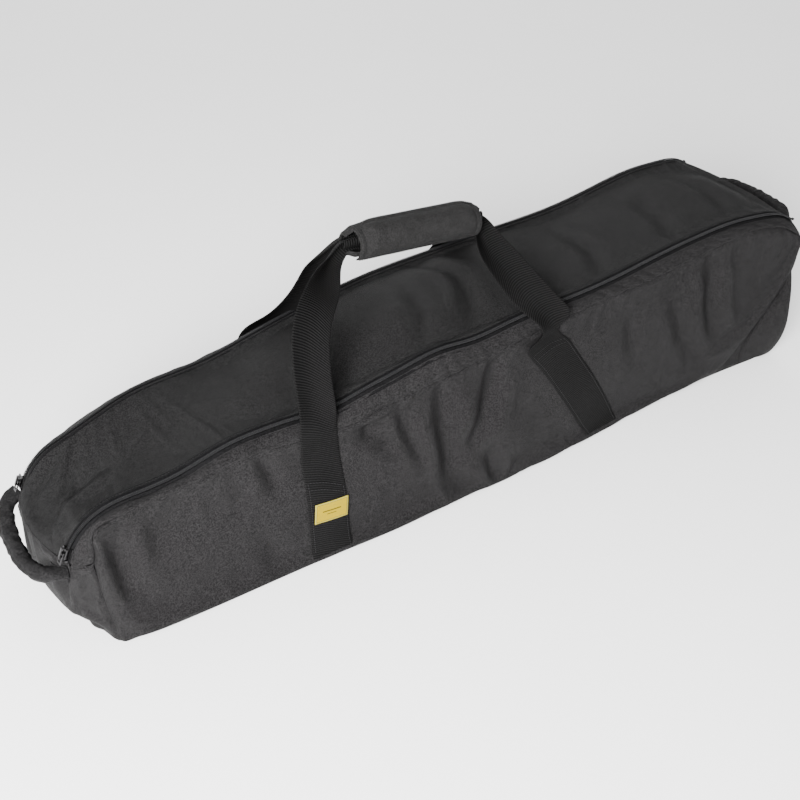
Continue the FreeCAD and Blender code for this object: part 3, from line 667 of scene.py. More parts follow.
def shares(rows, columns):
    """The share of the way along and across a grid."""
    return np.linspace(0, 1, rows)[:, None], np.linspace(0, 1, columns)[None]


def fading(share, low, high):
    """1 inside, falling to 0 within the given shares of either end."""
    return smooth(share, 0.0, low) * smooth(1 - share, 0.0, high)


LOWEST = 0.0006  # no fabric goes below this height


def sewn_panel(name, grid, depth):
    """A panel with grooves at its two ends and its top, kept off the floor."""
    grid = edge_roll(grid, ["first", "last", "high"], depth, 0.0045)
    grid[..., 2] = np.maximum(grid[..., 2], LOWEST)
    return sheet_piece(name, grid, SHELL)


def make_wall(
    name, seam, seam_start, corner_end, left, right, foot, size, flip, swell, roll, relief, gathers
):
    """A long wall: sewn at its top and both ends, and folded where the empty case sags."""
    rows, columns = size
    left_edge = path([*left, seam_start], columns)
    left_side = even(joined(left_edge, between(seam, seam_start, corner_end)), columns)
    right_side = path([*right, seam[-1]], columns)
    grid = patch(path(foot, rows), even(between(seam, corner_end, seam[-1]), rows), left_side, right_side)
    if flip:
        grid = grid[::-1]
    u, v = shares(rows, columns)
    bulge = np.sin(np.pi * v) ** 0.8 * (0.006 + swell * np.sin(np.pi * u))
    foot_roll = roll * np.exp(-((v / 0.06) ** 2)) * smooth(v, 0.0, 0.025) * smooth(u, 0.0, 0.03)
    quiet = fading(v, 0.10, 0.05) * smooth(u, 0.0, 0.012) * smooth(1 - u, 0.0, 0.012)
    scale, shapes, noise = relief
    folds = scale * creases(grid[..., [0, 2]], shapes, noise)
    rise = bulge * smooth(u, 0, 0.02) * smooth(1 - u, 0, 0.02) + foot_roll + folds * quiet
    grid = grid + grid_normals(grid) * rise[..., None]
    return sewn_panel(name, pucker(grid, "high", *gathers), 0.0030), left_edge


FRONT_FOLDS = [
    ([(-0.428, 0.146), (-0.431, 0.100), (-0.428, 0.052)], 0.0085, 0.0125, 0.35),
    ((-0.448, 0.095), (0.018, 0.045), -0.003),
    ([(-0.275, 0.166), (-0.262, 0.140), (-0.255, 0.112)], 0.0045, 0.009),
    ([(-0.282, 0.075), (-0.272, 0.045), (-0.262, 0.012)], 0.003, 0.012),
    ([(-0.172, 0.160), (-0.150, 0.150), (-0.118, 0.108)], 0.005, 0.011),
    ([(-0.160, 0.130), (-0.130, 0.150), (-0.108, 0.160)], 0.004, 0.009),
    ([(-0.106, 0.162), (-0.095, 0.123), (-0.076, 0.074)], 0.0045, 0.008),
    (
        [(-0.054, 0.172), (-0.049, 0.135), (-0.047, 0.090), (-0.040, 0.048), (-0.020, 0.006)],
        0.008, 0.011, 0.35,
    ),
    ([(0.024, 0.176), (0.018, 0.150), (0.004, 0.112), (-0.024, 0.070)], 0.0075, 0.014, 0.35),
    ([(0.008, 0.062), (0.016, 0.030), (0.026, 0.004)], 0.005, 0.008),
    ((0.045, 0.055), (0.028, 0.035), -0.006, 20),
    ((-0.015, 0.120), (0.014, 0.040), -0.004, 10),
    ([(0.338, 0.206), (0.352, 0.170), (0.354, 0.124), (0.376, 0.070)], 0.008, 0.013, 0.35),
    ([(0.286, 0.164), (0.305, 0.120), (0.330, 0.080), (0.380, 0.030)], 0.005, 0.012, 0.35),
    ((0.405, 0.150), (0.03, 0.05), -0.004, -20),
    ([(0.235, 0.180), (0.226, 0.140), (0.240, 0.080)], 0.003, 0.012),
]
BACK_FOLDS = [
    ([(-0.40, 0.135), (-0.395, 0.09), (-0.41, 0.03)], 0.006, 0.012, 0.6),
    ([(-0.11, 0.16), (-0.09, 0.10), (-0.10, 0.04)], 0.005, 0.012, 0.6),
    ([(0.03, 0.165), (0.01, 0.11), (0.03, 0.05)], 0.006, 0.013, 0.7),
    ([(0.33, 0.18), (0.35, 0.12), (0.33, 0.05)], 0.006, 0.013, 0.7),
    ((-0.27, 0.08), (0.05, 0.03), 0.003),
]
FRONT_SIZE, BACK_SIZE = (261, 60), (201, 48)
front_panel, front_left_edge = make_wall(
    "front_panel_cloth", FRONT_SEAM, FRONT_SEAM_LEFT[2], FRONT_CORNER[-1],
    FRONT_LEFT_EDGE, FRONT_RIGHT_EDGE, FRONT_FOOT, FRONT_SIZE, False, 0.003, 0.004,
    (1.45, FRONT_FOLDS, ((0.0016, 0.055, 3), (0.0008, 0.022, 4))), (0.0016, 0.014, 11),
)
back_panel, back_left_edge = make_wall(
    "back_panel_cloth", BACK_SEAM, BACK_SEAM_LEFT[2], BACK_CORNER[-1],
    BACK_LEFT_EDGE, BACK_RIGHT_EDGE, BACK_FOOT, BACK_SIZE, True, 0.0, 0.003,
    (1.0, BACK_FOLDS, ((0.0018, 0.055, 23), (0.0008, 0.022, 24))), (0.0011, 0.012, 31),
)


def zip_frame(line, outward):
    """At each point of a zip's line: the outboard direction and the way up."""
    out = np.broadcast_to(np.array([0.0, outward, 0.0]), line.shape)
    return out, unit(np.cross(unit(np.gradient(line, axis=0)), out) * outward)


def tape_line(line, outward, distance, lift=0.0):
    """A line beside the zip. Positive distances are on the case's side, negative on the lid's."""
    out, up = zip_frame(line, outward)
    tilt = math.radians(32 if distance > 0 else 9)
    side = math.cos(tilt) * out - math.sin(tilt) * up
    return line + side * distance + up * lift


# Where fabric starts beside the zip's middle line, and its height over it.
FABRIC_EDGE, FABRIC_LIFT = 0.0056, 0.0009
FACING_ROWS, FACING_COLUMNS = 301, 15


def make_facing(name, line, outward, seam, seed):
    """A strip between a zip and a long wall."""
    top = even(tape_line(line, outward, FABRIC_EDGE, FABRIC_LIFT), FACING_ROWS)
    low = even(seam, FACING_ROWS)
    ends = [straight(low[k], top[k], FACING_COLUMNS) for k in (0, -1)]
    grid = patch(low, top, *ends)
    if outward > 0:
        grid = grid[::-1]
    _, v = shares(FACING_ROWS, FACING_COLUMNS)
    bulge = 0.0028 * np.sin(np.pi * v) ** 0.7 * np.ones((FACING_ROWS, 1))
    grid = grid + grid_normals(grid) * bulge[..., None]
    grid = pucker(grid, "low", 0.0021, 0.012, seed)
    grid = pucker(grid, "high", 0.0006, 0.006, seed + 5)
    grid = edge_roll(grid, ["low"], 0.0022, 0.0032)
    return sheet_piece(name, grid, SHELL, "case"), top


front_facing, front_facing_top = make_facing("front_facing_cloth", FRONT_ZIP, -1, FRONT_SEAM, 41)
back_facing, back_facing_top = make_facing("back_facing_cloth", BACK_ZIP, 1, BACK_SEAM, 51)

# Lid: one sheet from zip to zip, crowned over the middle and slack at its low end.
LID_ROWS, LID_COLUMNS = 261, 61
lid_front = even(tape_line(FRONT_ZIP, -1, -FABRIC_EDGE, FABRIC_LIFT), LID_ROWS)
lid_back = even(tape_line(BACK_ZIP, 1, -FABRIC_EDGE, FABRIC_LIFT), LID_ROWS)
lid_ends = [straight(lid_front[k], lid_back[k], LID_COLUMNS) for k in (0, -1)]
lid_grid = patch(lid_front, lid_back, *lid_ends)
u, v = shares(LID_ROWS, LID_COLUMNS)
_, lid_up = zip_frame((lid_front + lid_back) / 2, -1)
middle_x = lid_grid[:, LID_COLUMNS // 2, 0]
end_crown = 0.012 * np.exp(-((u[:, 0] / 0.022) ** 2))
crown = end_crown + table(
    [
        (-0.476, 0.002), (-0.45, -0.004), (-0.40, -0.008), (-0.34, -0.003), (-0.28, 0.004),
        (-0.20, 0.013), (-0.10, 0.019), (0.0, 0.021), (0.10, 0.016), (0.20, 0.009),
        (0.30, 0.006), (0.40, 0.009), (0.487, 0.004),
    ],
    middle_x,
)
LID_FOLDS = [
    ((-0.444, -0.012), (0.018, 0.026), 0.007, 20),
    ([(-0.475, -0.066), (-0.462, -0.048), (-0.438, -0.036), (-0.400, -0.030)], -0.006, 0.008, 0.5),
    ([(-0.396, 0.040), (-0.436, 0.020), (-0.474, -0.002)], -0.005, 0.007, 0.6),
    ((-0.420, 0.034), (0.035, 0.010), 0.004, 20),
    ([(-0.318, 0.030), (-0.355, 0.0), (-0.398, -0.032)], -0.003, 0.010),
    ([(-0.150, -0.070), (-0.130, -0.020), (-0.140, 0.040)], 0.003, 0.012),
    ([(0.010, -0.075), (0.040, -0.030), (0.050, 0.020), (0.030, 0.065)], 0.0045, 0.010, 0.7),
    ([(-0.060, -0.076), (-0.030, -0.040), (-0.020, 0.010)], 0.0035, 0.010),
    ([(0.190, -0.080), (0.220, -0.030), (0.215, 0.030)], 0.004, 0.011),
    ([(0.300, -0.084), (0.330, -0.030), (0.330, 0.040)], 0.0035, 0.012),
    ([(0.400, -0.085), (0.425, -0.020), (0.415, 0.050)], 0.003, 0.011),
]
folds = creases(lid_grid[..., [0, 1]], LID_FOLDS, ((0.0022, 0.070, 61), (0.0010, 0.026, 62)))
quiet = fading(v, 0.07, 0.07) * smooth(u, 0.0, 0.02)
lid_rise = crown[:, None] * np.sin(np.pi * v) ** 0.75 + 1.1 * folds * quiet
lid_grid = lid_grid + lid_up[:, None] * lid_rise[..., None]
lid_left_end, lid_right_end = lid_grid[0], lid_grid[-1]
lid_grid = pucker(lid_grid, "low", 0.0009, 0.010, 63)
lid_grid = pucker(lid_grid, "high", 0.0009, 0.010, 64)
# its darker colour is painted shade, not a different cloth
lid = sheet_piece("lid_cloth_painted_shade", lid_grid, SHADED_LID_CLOTH)

END_COLUMNS = (41, 51)  # of the left and right ends
END_ROWS = 61


def end_panel(name, grid, belly, noise, shapes, droop=0):
    """An end panel that bellies out, drawn flat near its seams."""
    u, v = shares(*grid.shape[:2])
    depth, squareness = belly
    bulge = depth * np.sin(np.pi * v**0.6) * np.sin(np.pi * u) ** squareness
    quiet = np.minimum(1, 8 * np.sin(np.pi * u)) * np.minimum(1, 6 * np.sin(np.pi * v))
    folds = creases(grid[..., [1, 2]], shapes, noise)
    grid = grid + grid_normals(grid) * (bulge + folds * quiet)[..., None] + droop
    return sewn_panel(name, grid, 0.0024)


# Left end panel. It bellies out over the floor.
left_low = path(
    [
        FRONT_LEFT_EDGE[0], (-0.4495, -0.085, FLOOR), (-0.451, 0.0, FLOOR),
        (-0.4505, 0.075, FLOOR), BACK_LEFT_EDGE[0],
    ],
    END_ROWS,
)
left_high = even(
    joined(
        between(FRONT_SEAM, FRONT_SEAM_LEFT[2], FRONT_SEAM_LEFT[0]),
        front_facing_top[:1],
        lid_left_end,
        back_facing_top[:1],
        between(BACK_SEAM, BACK_SEAM_LEFT[0], BACK_SEAM_LEFT[2]),
    ),
    121,
)[::2]
left_sides = [even(edge, END_COLUMNS[0]) for edge in (front_left_edge, back_left_edge)]
left_grid = patch(left_low, left_high, *left_sides)[::-1]
left_panel = end_panel("left_end_cloth", left_grid, (0.023, 0.7), ((0.0018, 0.030, 71),), [
    ([(-0.080, 0.106), (-0.073, 0.085), (-0.064, 0.052)], 0.008, 0.005, 0.5),
    ([(-0.060, 0.100), (-0.045, 0.078), (-0.040, 0.060)], 0.005, 0.006, 0.5),
    ([(-0.094, 0.012), (-0.080, 0.022), (-0.060, 0.020)], 0.006, 0.008, 0.5),
    ([(0.010, 0.090), (0.0, 0.060), (0.010, 0.030)], 0.004, 0.009),
])

# Right end panel. Its lower front corner droops past the base.
right_low = path(
    [FRONT_RIGHT_EDGE[0], (0.462, -0.1045, FLOOR), (0.487, -0.104, FLOOR), (0.499, -0.093, FLOOR),
     (0.498, -0.050, FLOOR), (0.480, 0.030, FLOOR), (0.458, 0.085, FLOOR), BACK_RIGHT_EDGE[0]],
    END_ROWS,
)
right_high = even(
    joined(FRONT_SEAM[-1:], front_facing_top[-1:], lid_right_end, back_facing_top[-1:], BACK_SEAM[-1:]), 121
)[::2]
right_sides = [
    path([*edge, top[-1]], END_COLUMNS[1])
    for edge, top in ((FRONT_RIGHT_EDGE, FRONT_SEAM_TOP), (BACK_RIGHT_EDGE, BACK_SEAM_TOP))
]
u, v = shares(END_ROWS, END_COLUMNS[1])
# the empty lower front corner swells out past the wall
swelling = np.exp(-(((u - 0.2) / 0.11) ** 2)) * np.sin(np.pi * np.clip(v / 0.75, 0, 1)) ** 0.6
right_grid = patch(right_low, right_high, *right_sides)
droop = swelling[..., None] * np.array([0.004, -0.019, 0.0])
right_panel = end_panel("right_end_cloth", right_grid, (0.012, 0.6), ((0.0018, 0.035, 81),), [
    ([(-0.085, 0.150), (-0.070, 0.100), (-0.080, 0.040)], 0.005, 0.010),
    ([(-0.010, 0.140), (0.005, 0.090), (-0.005, 0.030)], 0.006, 0.012),
    ([(0.060, 0.150), (0.050, 0.090), (0.065, 0.040)], 0.004, 0.010),
], droop)

# Base: it rests on the floor, with a shallow channel for each belt.
LEFT_BELT_X, RIGHT_BELT_X, HALF_WEBBING = -0.202, 0.193, 0.025
BASE_ROWS, BASE_COLUMNS = 201, 51
base_sides = [path(edge, BASE_ROWS) for edge in (FRONT_FOOT, BACK_FOOT)]
base_grid = patch(*base_sides, even(left_low, BASE_COLUMNS), even(right_low, BASE_COLUMNS))
x = base_grid[..., 0]
channel = sum(
    smooth(x, centre - half - 0.004, centre - half) * smooth(-x, -centre - half - 0.004, -centre - half)
    for centre, half in ((LEFT_BELT_X, HALF_WEBBING), (RIGHT_BELT_X, HALF_WEBBING * 1.12))
)
u, v = shares(BASE_ROWS, BASE_COLUMNS)
inside = fading(u, 0.012, 0.012) * smooth(v, 0, 0.03) * smooth(1 - v, 0, 0.03)
base_grid[..., 2] = FLOOR + (0.0005 + 0.0017 * channel - FLOOR) * inside
base = sheet_piece("base_cloth", base_grid[::-1], SHELL, "case")


def seam_hold(rows, columns, reach=1.5):
    """How firmly each vertex of a panel is held: fully at its four seams, and not at all inside."""
    across, along = np.meshgrid(np.arange(columns), np.arange(rows))
    from_seam = np.minimum(np.minimum(across, columns - 1 - across), np.minimum(along, rows - 1 - along))
    return 1 - smooth(from_seam, 0, reach).ravel()


# The loose fabric settles between its seams.
SETTLING_FRAMES = 22
settle(
    [
        (front_panel, seam_hold(*FRONT_SIZE), 0.006, 0.25, 0.007),
        (back_panel, seam_hold(*BACK_SIZE), 0.006, 0.25, 0.007),
        (lid, seam_hold(LID_ROWS, LID_COLUMNS), 0.005, 0.25, 0.007),
        (left_panel, seam_hold(END_ROWS, END_COLUMNS[0]), 0.02, 0.2, 0.008),
        (right_panel, seam_hold(END_ROWS, END_COLUMNS[1]), 0.02, 0.2, 0.008),
    ],
    SETTLING_FRAMES,
)
for panel in (front_panel, back_panel, left_panel, right_panel):
    data = coordinates(panel)
    data[:, 2] = np.maximum(data[:, 2], LOWEST)
    set_coordinates(panel, data)
    subdivide(panel)
    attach(panel, "case")
subdivide(lid)


# ---------------------------------------------------------------- zips


def with_lid(obj):
    """Bakes a lid-side piece's placement into its mesh."""
    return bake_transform(obj)


def make_tape(name, line, outward, side):
    near, far = side * 0.0006, side * 0.0092
    columns = [tape_line(line, outward, near + (far - near) * t) for t in (0, 0.2, 0.5, 0.8, 1)]
    grid = np.stack(columns, axis=1)[::2]
    if side * outward < 0:
        grid = grid[::-1]
    return thick_piece(name, grid, 0.0008, TAPE)


def make_coil(name, line, outward, side, pitch=0.0015):
    """A nylon coil sewn along the tape's edge: one loop per tooth, flattened."""
    count = int(length_of(line) / pitch) * 7
    smooth_line = even(line, count)
    out, up = zip_frame(smooth_line, outward)
    turn = np.arange(count) * TWO_PI / 7 + (math.pi if side < 0 else 0)
    loop = (0.0008 + 0.0012 * np.cos(turn))[:, None] * side * out
    points = smooth_line + loop + up * (0.0015 + 0.00085 * np.sin(turn))[:, None]
    radius = np.full(count, 0.00036)
    obj = mesh_object(name, *tube_arrays(points, radius, radius, up, 4, 0))
    return finish_piece(obj, COIL)


for zip_name, zip_line, outward in (("front", FRONT_ZIP, -1), ("back", BACK_ZIP, 1)):
    for kind, make in (("tape", make_tape), ("coil", make_coil)):
        case_piece, lid_piece = (
            make(f"{zip_name}_zip_{half}_{kind}", zip_line, outward, side)
            for half, side in (("case", 1), ("lid", -1))
        )
        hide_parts(f"{zip_name}_case_{kind}")
        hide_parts(f"{zip_name}_lid_{kind}", f"{zip_name}_flap_{kind}")
        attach(case_piece, "case")
        with_lid(lid_piece)
    _, way_up = zip_frame(zip_line, outward)
    for half, distance in (("case", 0.0068), ("lid", -0.0068)):
        seam = tape_line(zip_line, outward, distance, 0.0014)
        sewn = stitches(f"{zip_name}_zip_{half}_stitches", [(seam[6:-8], way_up[6:-8])])
        if half == "lid":
            with_lid(sewn)
        else:
            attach(sewn, "case")

with_lid(lid)
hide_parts("lid_panel", "lid_flap_panel")
for piece, replaced in (
    (front_panel, "front_panel"), (back_panel, "back_panel"),
    (left_panel, "left_end_panel"), (right_panel, "right_end_panel"),
    (front_facing, "front_facing"), (back_facing, "back_facing"), (base, "base_panel"),
):
    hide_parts(replaced)


# ---------------------------------------------------------------- straps


def surface_tree(objects):
    """One search tree over several pieces at rest."""
    vertices, faces = [], []
    for obj in objects:
        start = len(vertices)
        vertices += [obj.matrix_world @ vertex.co for vertex in obj.data.vertices]
        faces += [[start + i for i in polygon.vertices] for polygon in obj.data.polygons]
    return BVHTree.FromPolygons(vertices, faces)


front_surface = surface_tree([front_panel, front_facing])
back_surface = surface_tree([back_panel, back_facing])


# How far out the search for a surface starts, and where a wall is taken to be if none is met.
SEARCH_START, USUAL_WALL_Y = 0.4, 0.104


def touch(x, z, outward):
    """The y at which a long wall is met at x and z, coming from outside."""
    tree = front_surface if outward < 0 else back_surface
    spot, *_ = tree.ray_cast(Vector((x, outward * SEARCH_START, z)), Vector((0, -outward, 0)))
    return outward * USUAL_WALL_Y if spot is None else spot.y


COLUMNS = 11
LIFT = 0.0016


def wall_row(centre_x, z, lean, outward, half=HALF_WEBBING):
    """A row of points across a belt, square to its length, lying on a long wall."""
    a = math.radians(lean)
    offsets = np.linspace(-half, half, COLUMNS)
    xs, zs = centre_x + offsets * math.cos(a), z + offsets * math.sin(a)
    return np.array([
        (x, touch(x, max(q, 0.004), outward) + outward * LIFT, max(q, 0.0022)) for x, q in zip(xs, zs)
    ])


def wall_line(start, end, gap):
    """A row of points over the front wall, between two (x, z) places and the given distance off it."""
    return np.array([(x, touch(x, z, -1) - gap, z) for x, z in straight(start, end, COLUMNS)])


def under_rows(centre_x, half, foot_y):
    """Rows of points across a belt where it passes under the base, from the middle to the foot."""
    xs = np.linspace(centre_x - half, centre_x + half, COLUMNS)
    heights = ((0.0, 0.0012), (0.3, 0.0012), (0.6, 0.0012), (0.85, 0.0012), (0.95, 0.0013), (0.995, 0.0019))
    return [
        np.stack([xs, np.full(COLUMNS, foot_y * share), np.full(COLUMNS, height)], axis=1)
        for share, height in heights
    ]


def free_rows(pairs, webbing=2 * HALF_WEBBING):
    """Rows of points across a free strap from its two edges. Where the edges draw together it cups."""
    rows = []
    for left, right in pairs:
        left, right = np.array(left), np.array(right)
        width = np.linalg.norm(right - left)
        bow = 0.30 * math.sqrt(max(webbing**2 - width**2, 0.0))
        t = np.linspace(0, 1, COLUMNS)[:, None]
        rows.append((left + (right - left) * t, bow * np.sin(np.pi * t)))
    middles = np.array([row[0].mean(axis=0) for row in rows])
    along = unit(np.gradient(middles, axis=0))
    made = []
    for (row, bow), direction in zip(rows, along):
        out = unit(np.cross(direction, row[-1] - row[0]))
        made.append(row + out * bow)
    return made


def smooth_rows(rows, count):
    """The strap's surface as an even grid along its length."""
    rows = np.array(rows)
    columns = [even(path(rows[:, j], 4 * count), count) for j in range(rows.shape[1])]
    return np.stack(columns, axis=1)


def relax(grid, passes):
    """Evens out a strap along and across, as stiff webbing does."""
    grid = grid.copy()
    for _ in range(passes):
        grid[1:-1] = 0.5 * grid[1:-1] + 0.25 * (grid[:-2] + grid[2:])
        grid[:, 1:-1] = 0.6 * grid[:, 1:-1] + 0.2 * (grid[:, :-2] + grid[:, 2:])
    return grid


def make_strap(name, rows, count, outward, replaced):
    grid = relax(smooth_rows(rows, count), 3)
    if outward < 0:
        grid = grid[:, ::-1]
    obj = thick_piece(name, grid, 0.0017, WEBBING)
    subdivide(obj)
    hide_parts(*replaced)
    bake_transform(obj)
    return obj, grid


# Each list of pairs gives the left and right edge of a strap, from the wall up to the grip.
FRONT_LEFT_FREE = [
    ((-0.226, -0.1075, 0.192), (-0.183, -0.1075, 0.188)), ((-0.2255, -0.103, 0.222), (-0.183, -0.102, 0.216)),
    ((-0.222, -0.092, 0.252), (-0.178, -0.090, 0.241)), ((-0.211, -0.074, 0.278), (-0.166, -0.072, 0.260)),
    ((-0.193, -0.055, 0.293), (-0.149, -0.054, 0.271)), ((-0.168, -0.034, 0.301), (-0.133, -0.037, 0.278)),
    ((-0.146, -0.018, 0.303), (-0.123, -0.021, 0.287)), ((-0.126, -0.008, 0.305), (-0.114, -0.010, 0.292)),
    ((-0.108, -0.005, 0.315), (-0.104, -0.007, 0.301)), ((-0.085, -0.005, 0.312), (-0.085, -0.007, 0.298)),
]
BACK_LEFT_FREE = [
    ((-0.190, 0.106, 0.160), (-0.144, 0.107, 0.146)), ((-0.178, 0.099, 0.176), (-0.133, 0.099, 0.162)),
    ((-0.168, 0.084, 0.190), (-0.124, 0.086, 0.176)), ((-0.156, 0.070, 0.208), (-0.112, 0.071, 0.192)),
    ((-0.144, 0.055, 0.234), (-0.103, 0.055, 0.216)), ((-0.139, 0.041, 0.259), (-0.101, 0.040, 0.242)),
    ((-0.135, 0.028, 0.279), (-0.105, 0.026, 0.263)), ((-0.127, 0.016, 0.292), (-0.110, 0.014, 0.279)),
    ((-0.114, 0.008, 0.305), (-0.108, 0.008, 0.291)), ((-0.085, 0.006, 0.312), (-0.085, 0.006, 0.298)),
]
FRONT_RIGHT_FREE = [
    ((0.076, -0.122, 0.1955), (0.1155, -0.120, 0.2085)), ((0.070, -0.106, 0.207), (0.112, -0.104, 0.219)),
    ((0.057, -0.092, 0.222), (0.104, -0.089, 0.233)), ((0.050, -0.074, 0.238), (0.096, -0.071, 0.247)),
    ((0.048, -0.050, 0.252), (0.090, -0.046, 0.261)), ((0.052, -0.025, 0.264), (0.084, -0.019, 0.274)),
    ((0.060, -0.008, 0.275), (0.077, -0.006, 0.287)), ((0.058, -0.005, 0.284), (0.062, -0.005, 0.295)),
    ((0.040, -0.005, 0.282), (0.040, -0.005, 0.294)),
]
BACK_RIGHT_FREE = [
    ((0.076, 0.108, 0.186), (0.122, 0.108, 0.198)), ((0.076, 0.096, 0.202), (0.122, 0.096, 0.212)),
    ((0.075, 0.078, 0.216), (0.119, 0.078, 0.225)), ((0.073, 0.058, 0.232), (0.112, 0.058, 0.239)),
    ((0.071, 0.038, 0.250), (0.100, 0.038, 0.256)), ((0.068, 0.018, 0.265), (0.088, 0.018, 0.273)),
    ((0.062, 0.007, 0.276), (0.076, 0.007, 0.286)), ((0.040, 0.005, 0.281), (0.040, 0.005, 0.293)),
]

left_wall = np.linspace(0.012, 0.168, 20)
front_left_rows = under_rows(LEFT_BELT_X, HALF_WEBBING, -0.1205)
front_left_rows += [wall_row(-0.2015 - 0.022 * z, z, -2.0, -1, 0.0245 - 0.012 * z) for z in left_wall]
front_left_strap, front_left_grid = make_strap(
    "front_left_strap", [*front_left_rows, *free_rows(FRONT_LEFT_FREE)], 130, -1,
    ["left_belt", "front_left_leg"],
)
back_left_rows = under_rows(LEFT_BELT_X, HALF_WEBBING, 0.1145)
back_left_rows += [
    wall_row(-0.2015 + 0.30 * max(z - 0.05, 0.0), z, -18.0 * min(max(z - 0.05, 0.0) / 0.06, 1.0), 1, 0.0235)
    for z in np.linspace(0.012, 0.135, 11)
]
_, back_left_grid = make_strap(
    "back_left_strap", [*back_left_rows, *free_rows(BACK_LEFT_FREE)], 120, 1,
    ["left_belt", "back_left_leg"],
)
front_right_rows = under_rows(RIGHT_BELT_X, HALF_WEBBING * 1.05, -0.1135)
front_right_rows += [
    wall_row(RIGHT_BELT_X - 0.606 * (z - 0.005), z, 30.0 * min(z / 0.05, 1.0), -1, 0.0243)
    for z in np.linspace(0.014, 0.150, 18)
]
# slack, it folds out over its own end before it rises to the grip
front_right_rows += [
    wall_line((0.0655, 0.1655), (0.1075, 0.182), 0.0022),
    wall_line((0.067, 0.180), (0.1125, 0.198), 0.0105),
]
_, front_right_grid = make_strap(
    "front_right_strap", [*front_right_rows, *free_rows(FRONT_RIGHT_FREE)], 130, -1,
    ["right_belt", "front_right_leg"],
)
back_right_rows = under_rows(RIGHT_BELT_X, HALF_WEBBING * 1.1, 0.1125)
back_right_rows += [
    wall_row(RIGHT_BELT_X - 0.49 * z, z, 20.0 * min(z / 0.05, 1.0), 1, 0.0245)
    for z in np.linspace(0.014, 0.165, 13)
]
_, back_right_grid = make_strap(
    "back_right_strap", [*back_right_rows, *free_rows(BACK_RIGHT_FREE)], 120, 1,
    ["right_belt", "back_right_leg"],
)


# ---------------------------------------------------------------- grip

GRIP_CENTRE = np.array([-0.018, 0.0, 0.2992])
GRIP_LEAN = math.radians(6.2)
GRIP_ALONG = np.array([math.cos(GRIP_LEAN), 0.0, -math.sin(GRIP_LEAN)])
GRIP_UP = np.array([math.sin(GRIP_LEAN), 0.0, math.cos(GRIP_LEAN)])
GRIP_BACK = np.array([0.0, 1.0, 0.0])


def grip_point(along, degrees, radius, squeeze=1.0):
    """Points on the grip's own surface. Angles run from its back over its top to its front."""
    a = np.radians(degrees)
    back = np.cos(a) * radius * squeeze
    up = np.sin(a) * radius
    return GRIP_CENTRE + along[..., None] * GRIP_ALONG + back[..., None] * GRIP_BACK + up[..., None] * GRIP_UP


def grip_outward(along, degrees):
    """The outward direction at places on the grip."""
    rim, core = np.ones_like(along), np.zeros_like(along)
    return unit(grip_point(along, degrees, rim) - grip_point(along, degrees, core))


def grip_pad(name, half_length, start, end, radius, thickness, body, seed, pinch, gather):
    """A padded layer of the grip: quilted inside a sewn border, with rounded edges."""
    count_s, count_a = 97, 57
    s = np.linspace(-half_length, half_length, count_s)[:, None] * np.ones((1, count_a))
    angle = np.linspace(start, end, count_a)[None] * np.ones((count_s, 1))
    from_end = half_length - np.abs(s)
    arc = np.radians(angle - start) * radius
    from_side = np.minimum(arc, arc.max() - arc)
    edge = np.minimum(from_end, from_side)
    top = np.exp(-(((angle - 100) / 55) ** 2))
    drop = pinch * top * np.exp(-((from_end / 0.013) ** 2))
    drop = drop + gather * radius * np.exp(-((from_end / 0.007) ** 2))
    groove = 0.0011 * np.exp(-(((edge - 0.0075) / 0.0016) ** 2))
    puff = 0.0016 * smooth(edge, 0.008, 0.020)
    rumple = 0.0009 * lattice_noise(s, arc, 0.016, seed) + 0.0004 * lattice_noise(s, arc, 0.006, seed + 1)
    middle = grip_point(s, angle, radius - drop + 0.5 * (puff - groove) + rumple * smooth(edge, 0.0, 0.01))
    fullness = thickness * smooth(edge, -0.002, 0.004) + puff - groove * 0.8
    fullness = np.maximum(fullness, 0.0008)
    obj = thick_piece(name, middle, fullness, GRIP_CLOTH, None, grip_outward(s, angle))
    subdivide(obj)
    tree = surface_tree([obj])
    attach(obj, body)
    rows = []
    for inset in (0.0026, 0.0075):
        ring_s = half_length - inset
        low, high = math.degrees(inset / radius) + start, end - math.degrees(inset / radius)
        for line_s, line_a in (
            (np.linspace(-ring_s, ring_s, 60), np.full(60, low)),
            (np.linspace(-ring_s, ring_s, 60), np.full(60, high)),
            (np.full(40, -ring_s), np.linspace(low, high, 40)),
            (np.full(40, ring_s), np.linspace(low, high, 40)),
        ):
            out = grip_outward(line_s, line_a)
            spot = grip_point(line_s, line_a, np.full_like(line_s, radius + 0.06))
            hits = []
            for p, n in zip(spot, -out):
                hit, *_ = tree.ray_cast(Vector(p), Vector(n))
                hits.append(p + n * 0.06 if hit is None else np.array(hit))
            rows.append((np.array(hits), out))
    sewn = stitches(f"{name}_stitches", rows, 0.003)
    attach(sewn, body)
    return obj


wrap = grip_pad("grip_wrap_pad", 0.0885, -152, 100, 0.0150, 0.0042, "grip", 91, 0.003, 0.28)
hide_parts("grip_wrap", "grip_foam")
flap = grip_pad("grip_flap_pad", 0.0795, 76, 236, 0.0200, 0.0040, "grip_flap", 95, 0.006, 0.0)
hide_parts("grip_flap_cover")


def fastener(name, start, end, radius, replaced, body):
    """A strip of hook or loop tape on the grip."""
    count_s, count_a = 40, 6
    s = np.linspace(-0.072, 0.072, count_s)[:, None] * np.ones((1, count_a))
    angle = np.linspace(start, end, count_a)[None] * np.ones((count_s, 1))
    grid = grip_point(s, angle, np.full_like(s, radius))
    obj = thick_piece(name, grid, 0.0009, HOOK, body)
    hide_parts(replaced)


fastener("grip_loop_strip", -148, -128, 0.0176, "grip_loop_tape", "grip")
fastener("grip_hook_strip", 212, 232, 0.0176, "grip_hook_tape", "grip_flap")


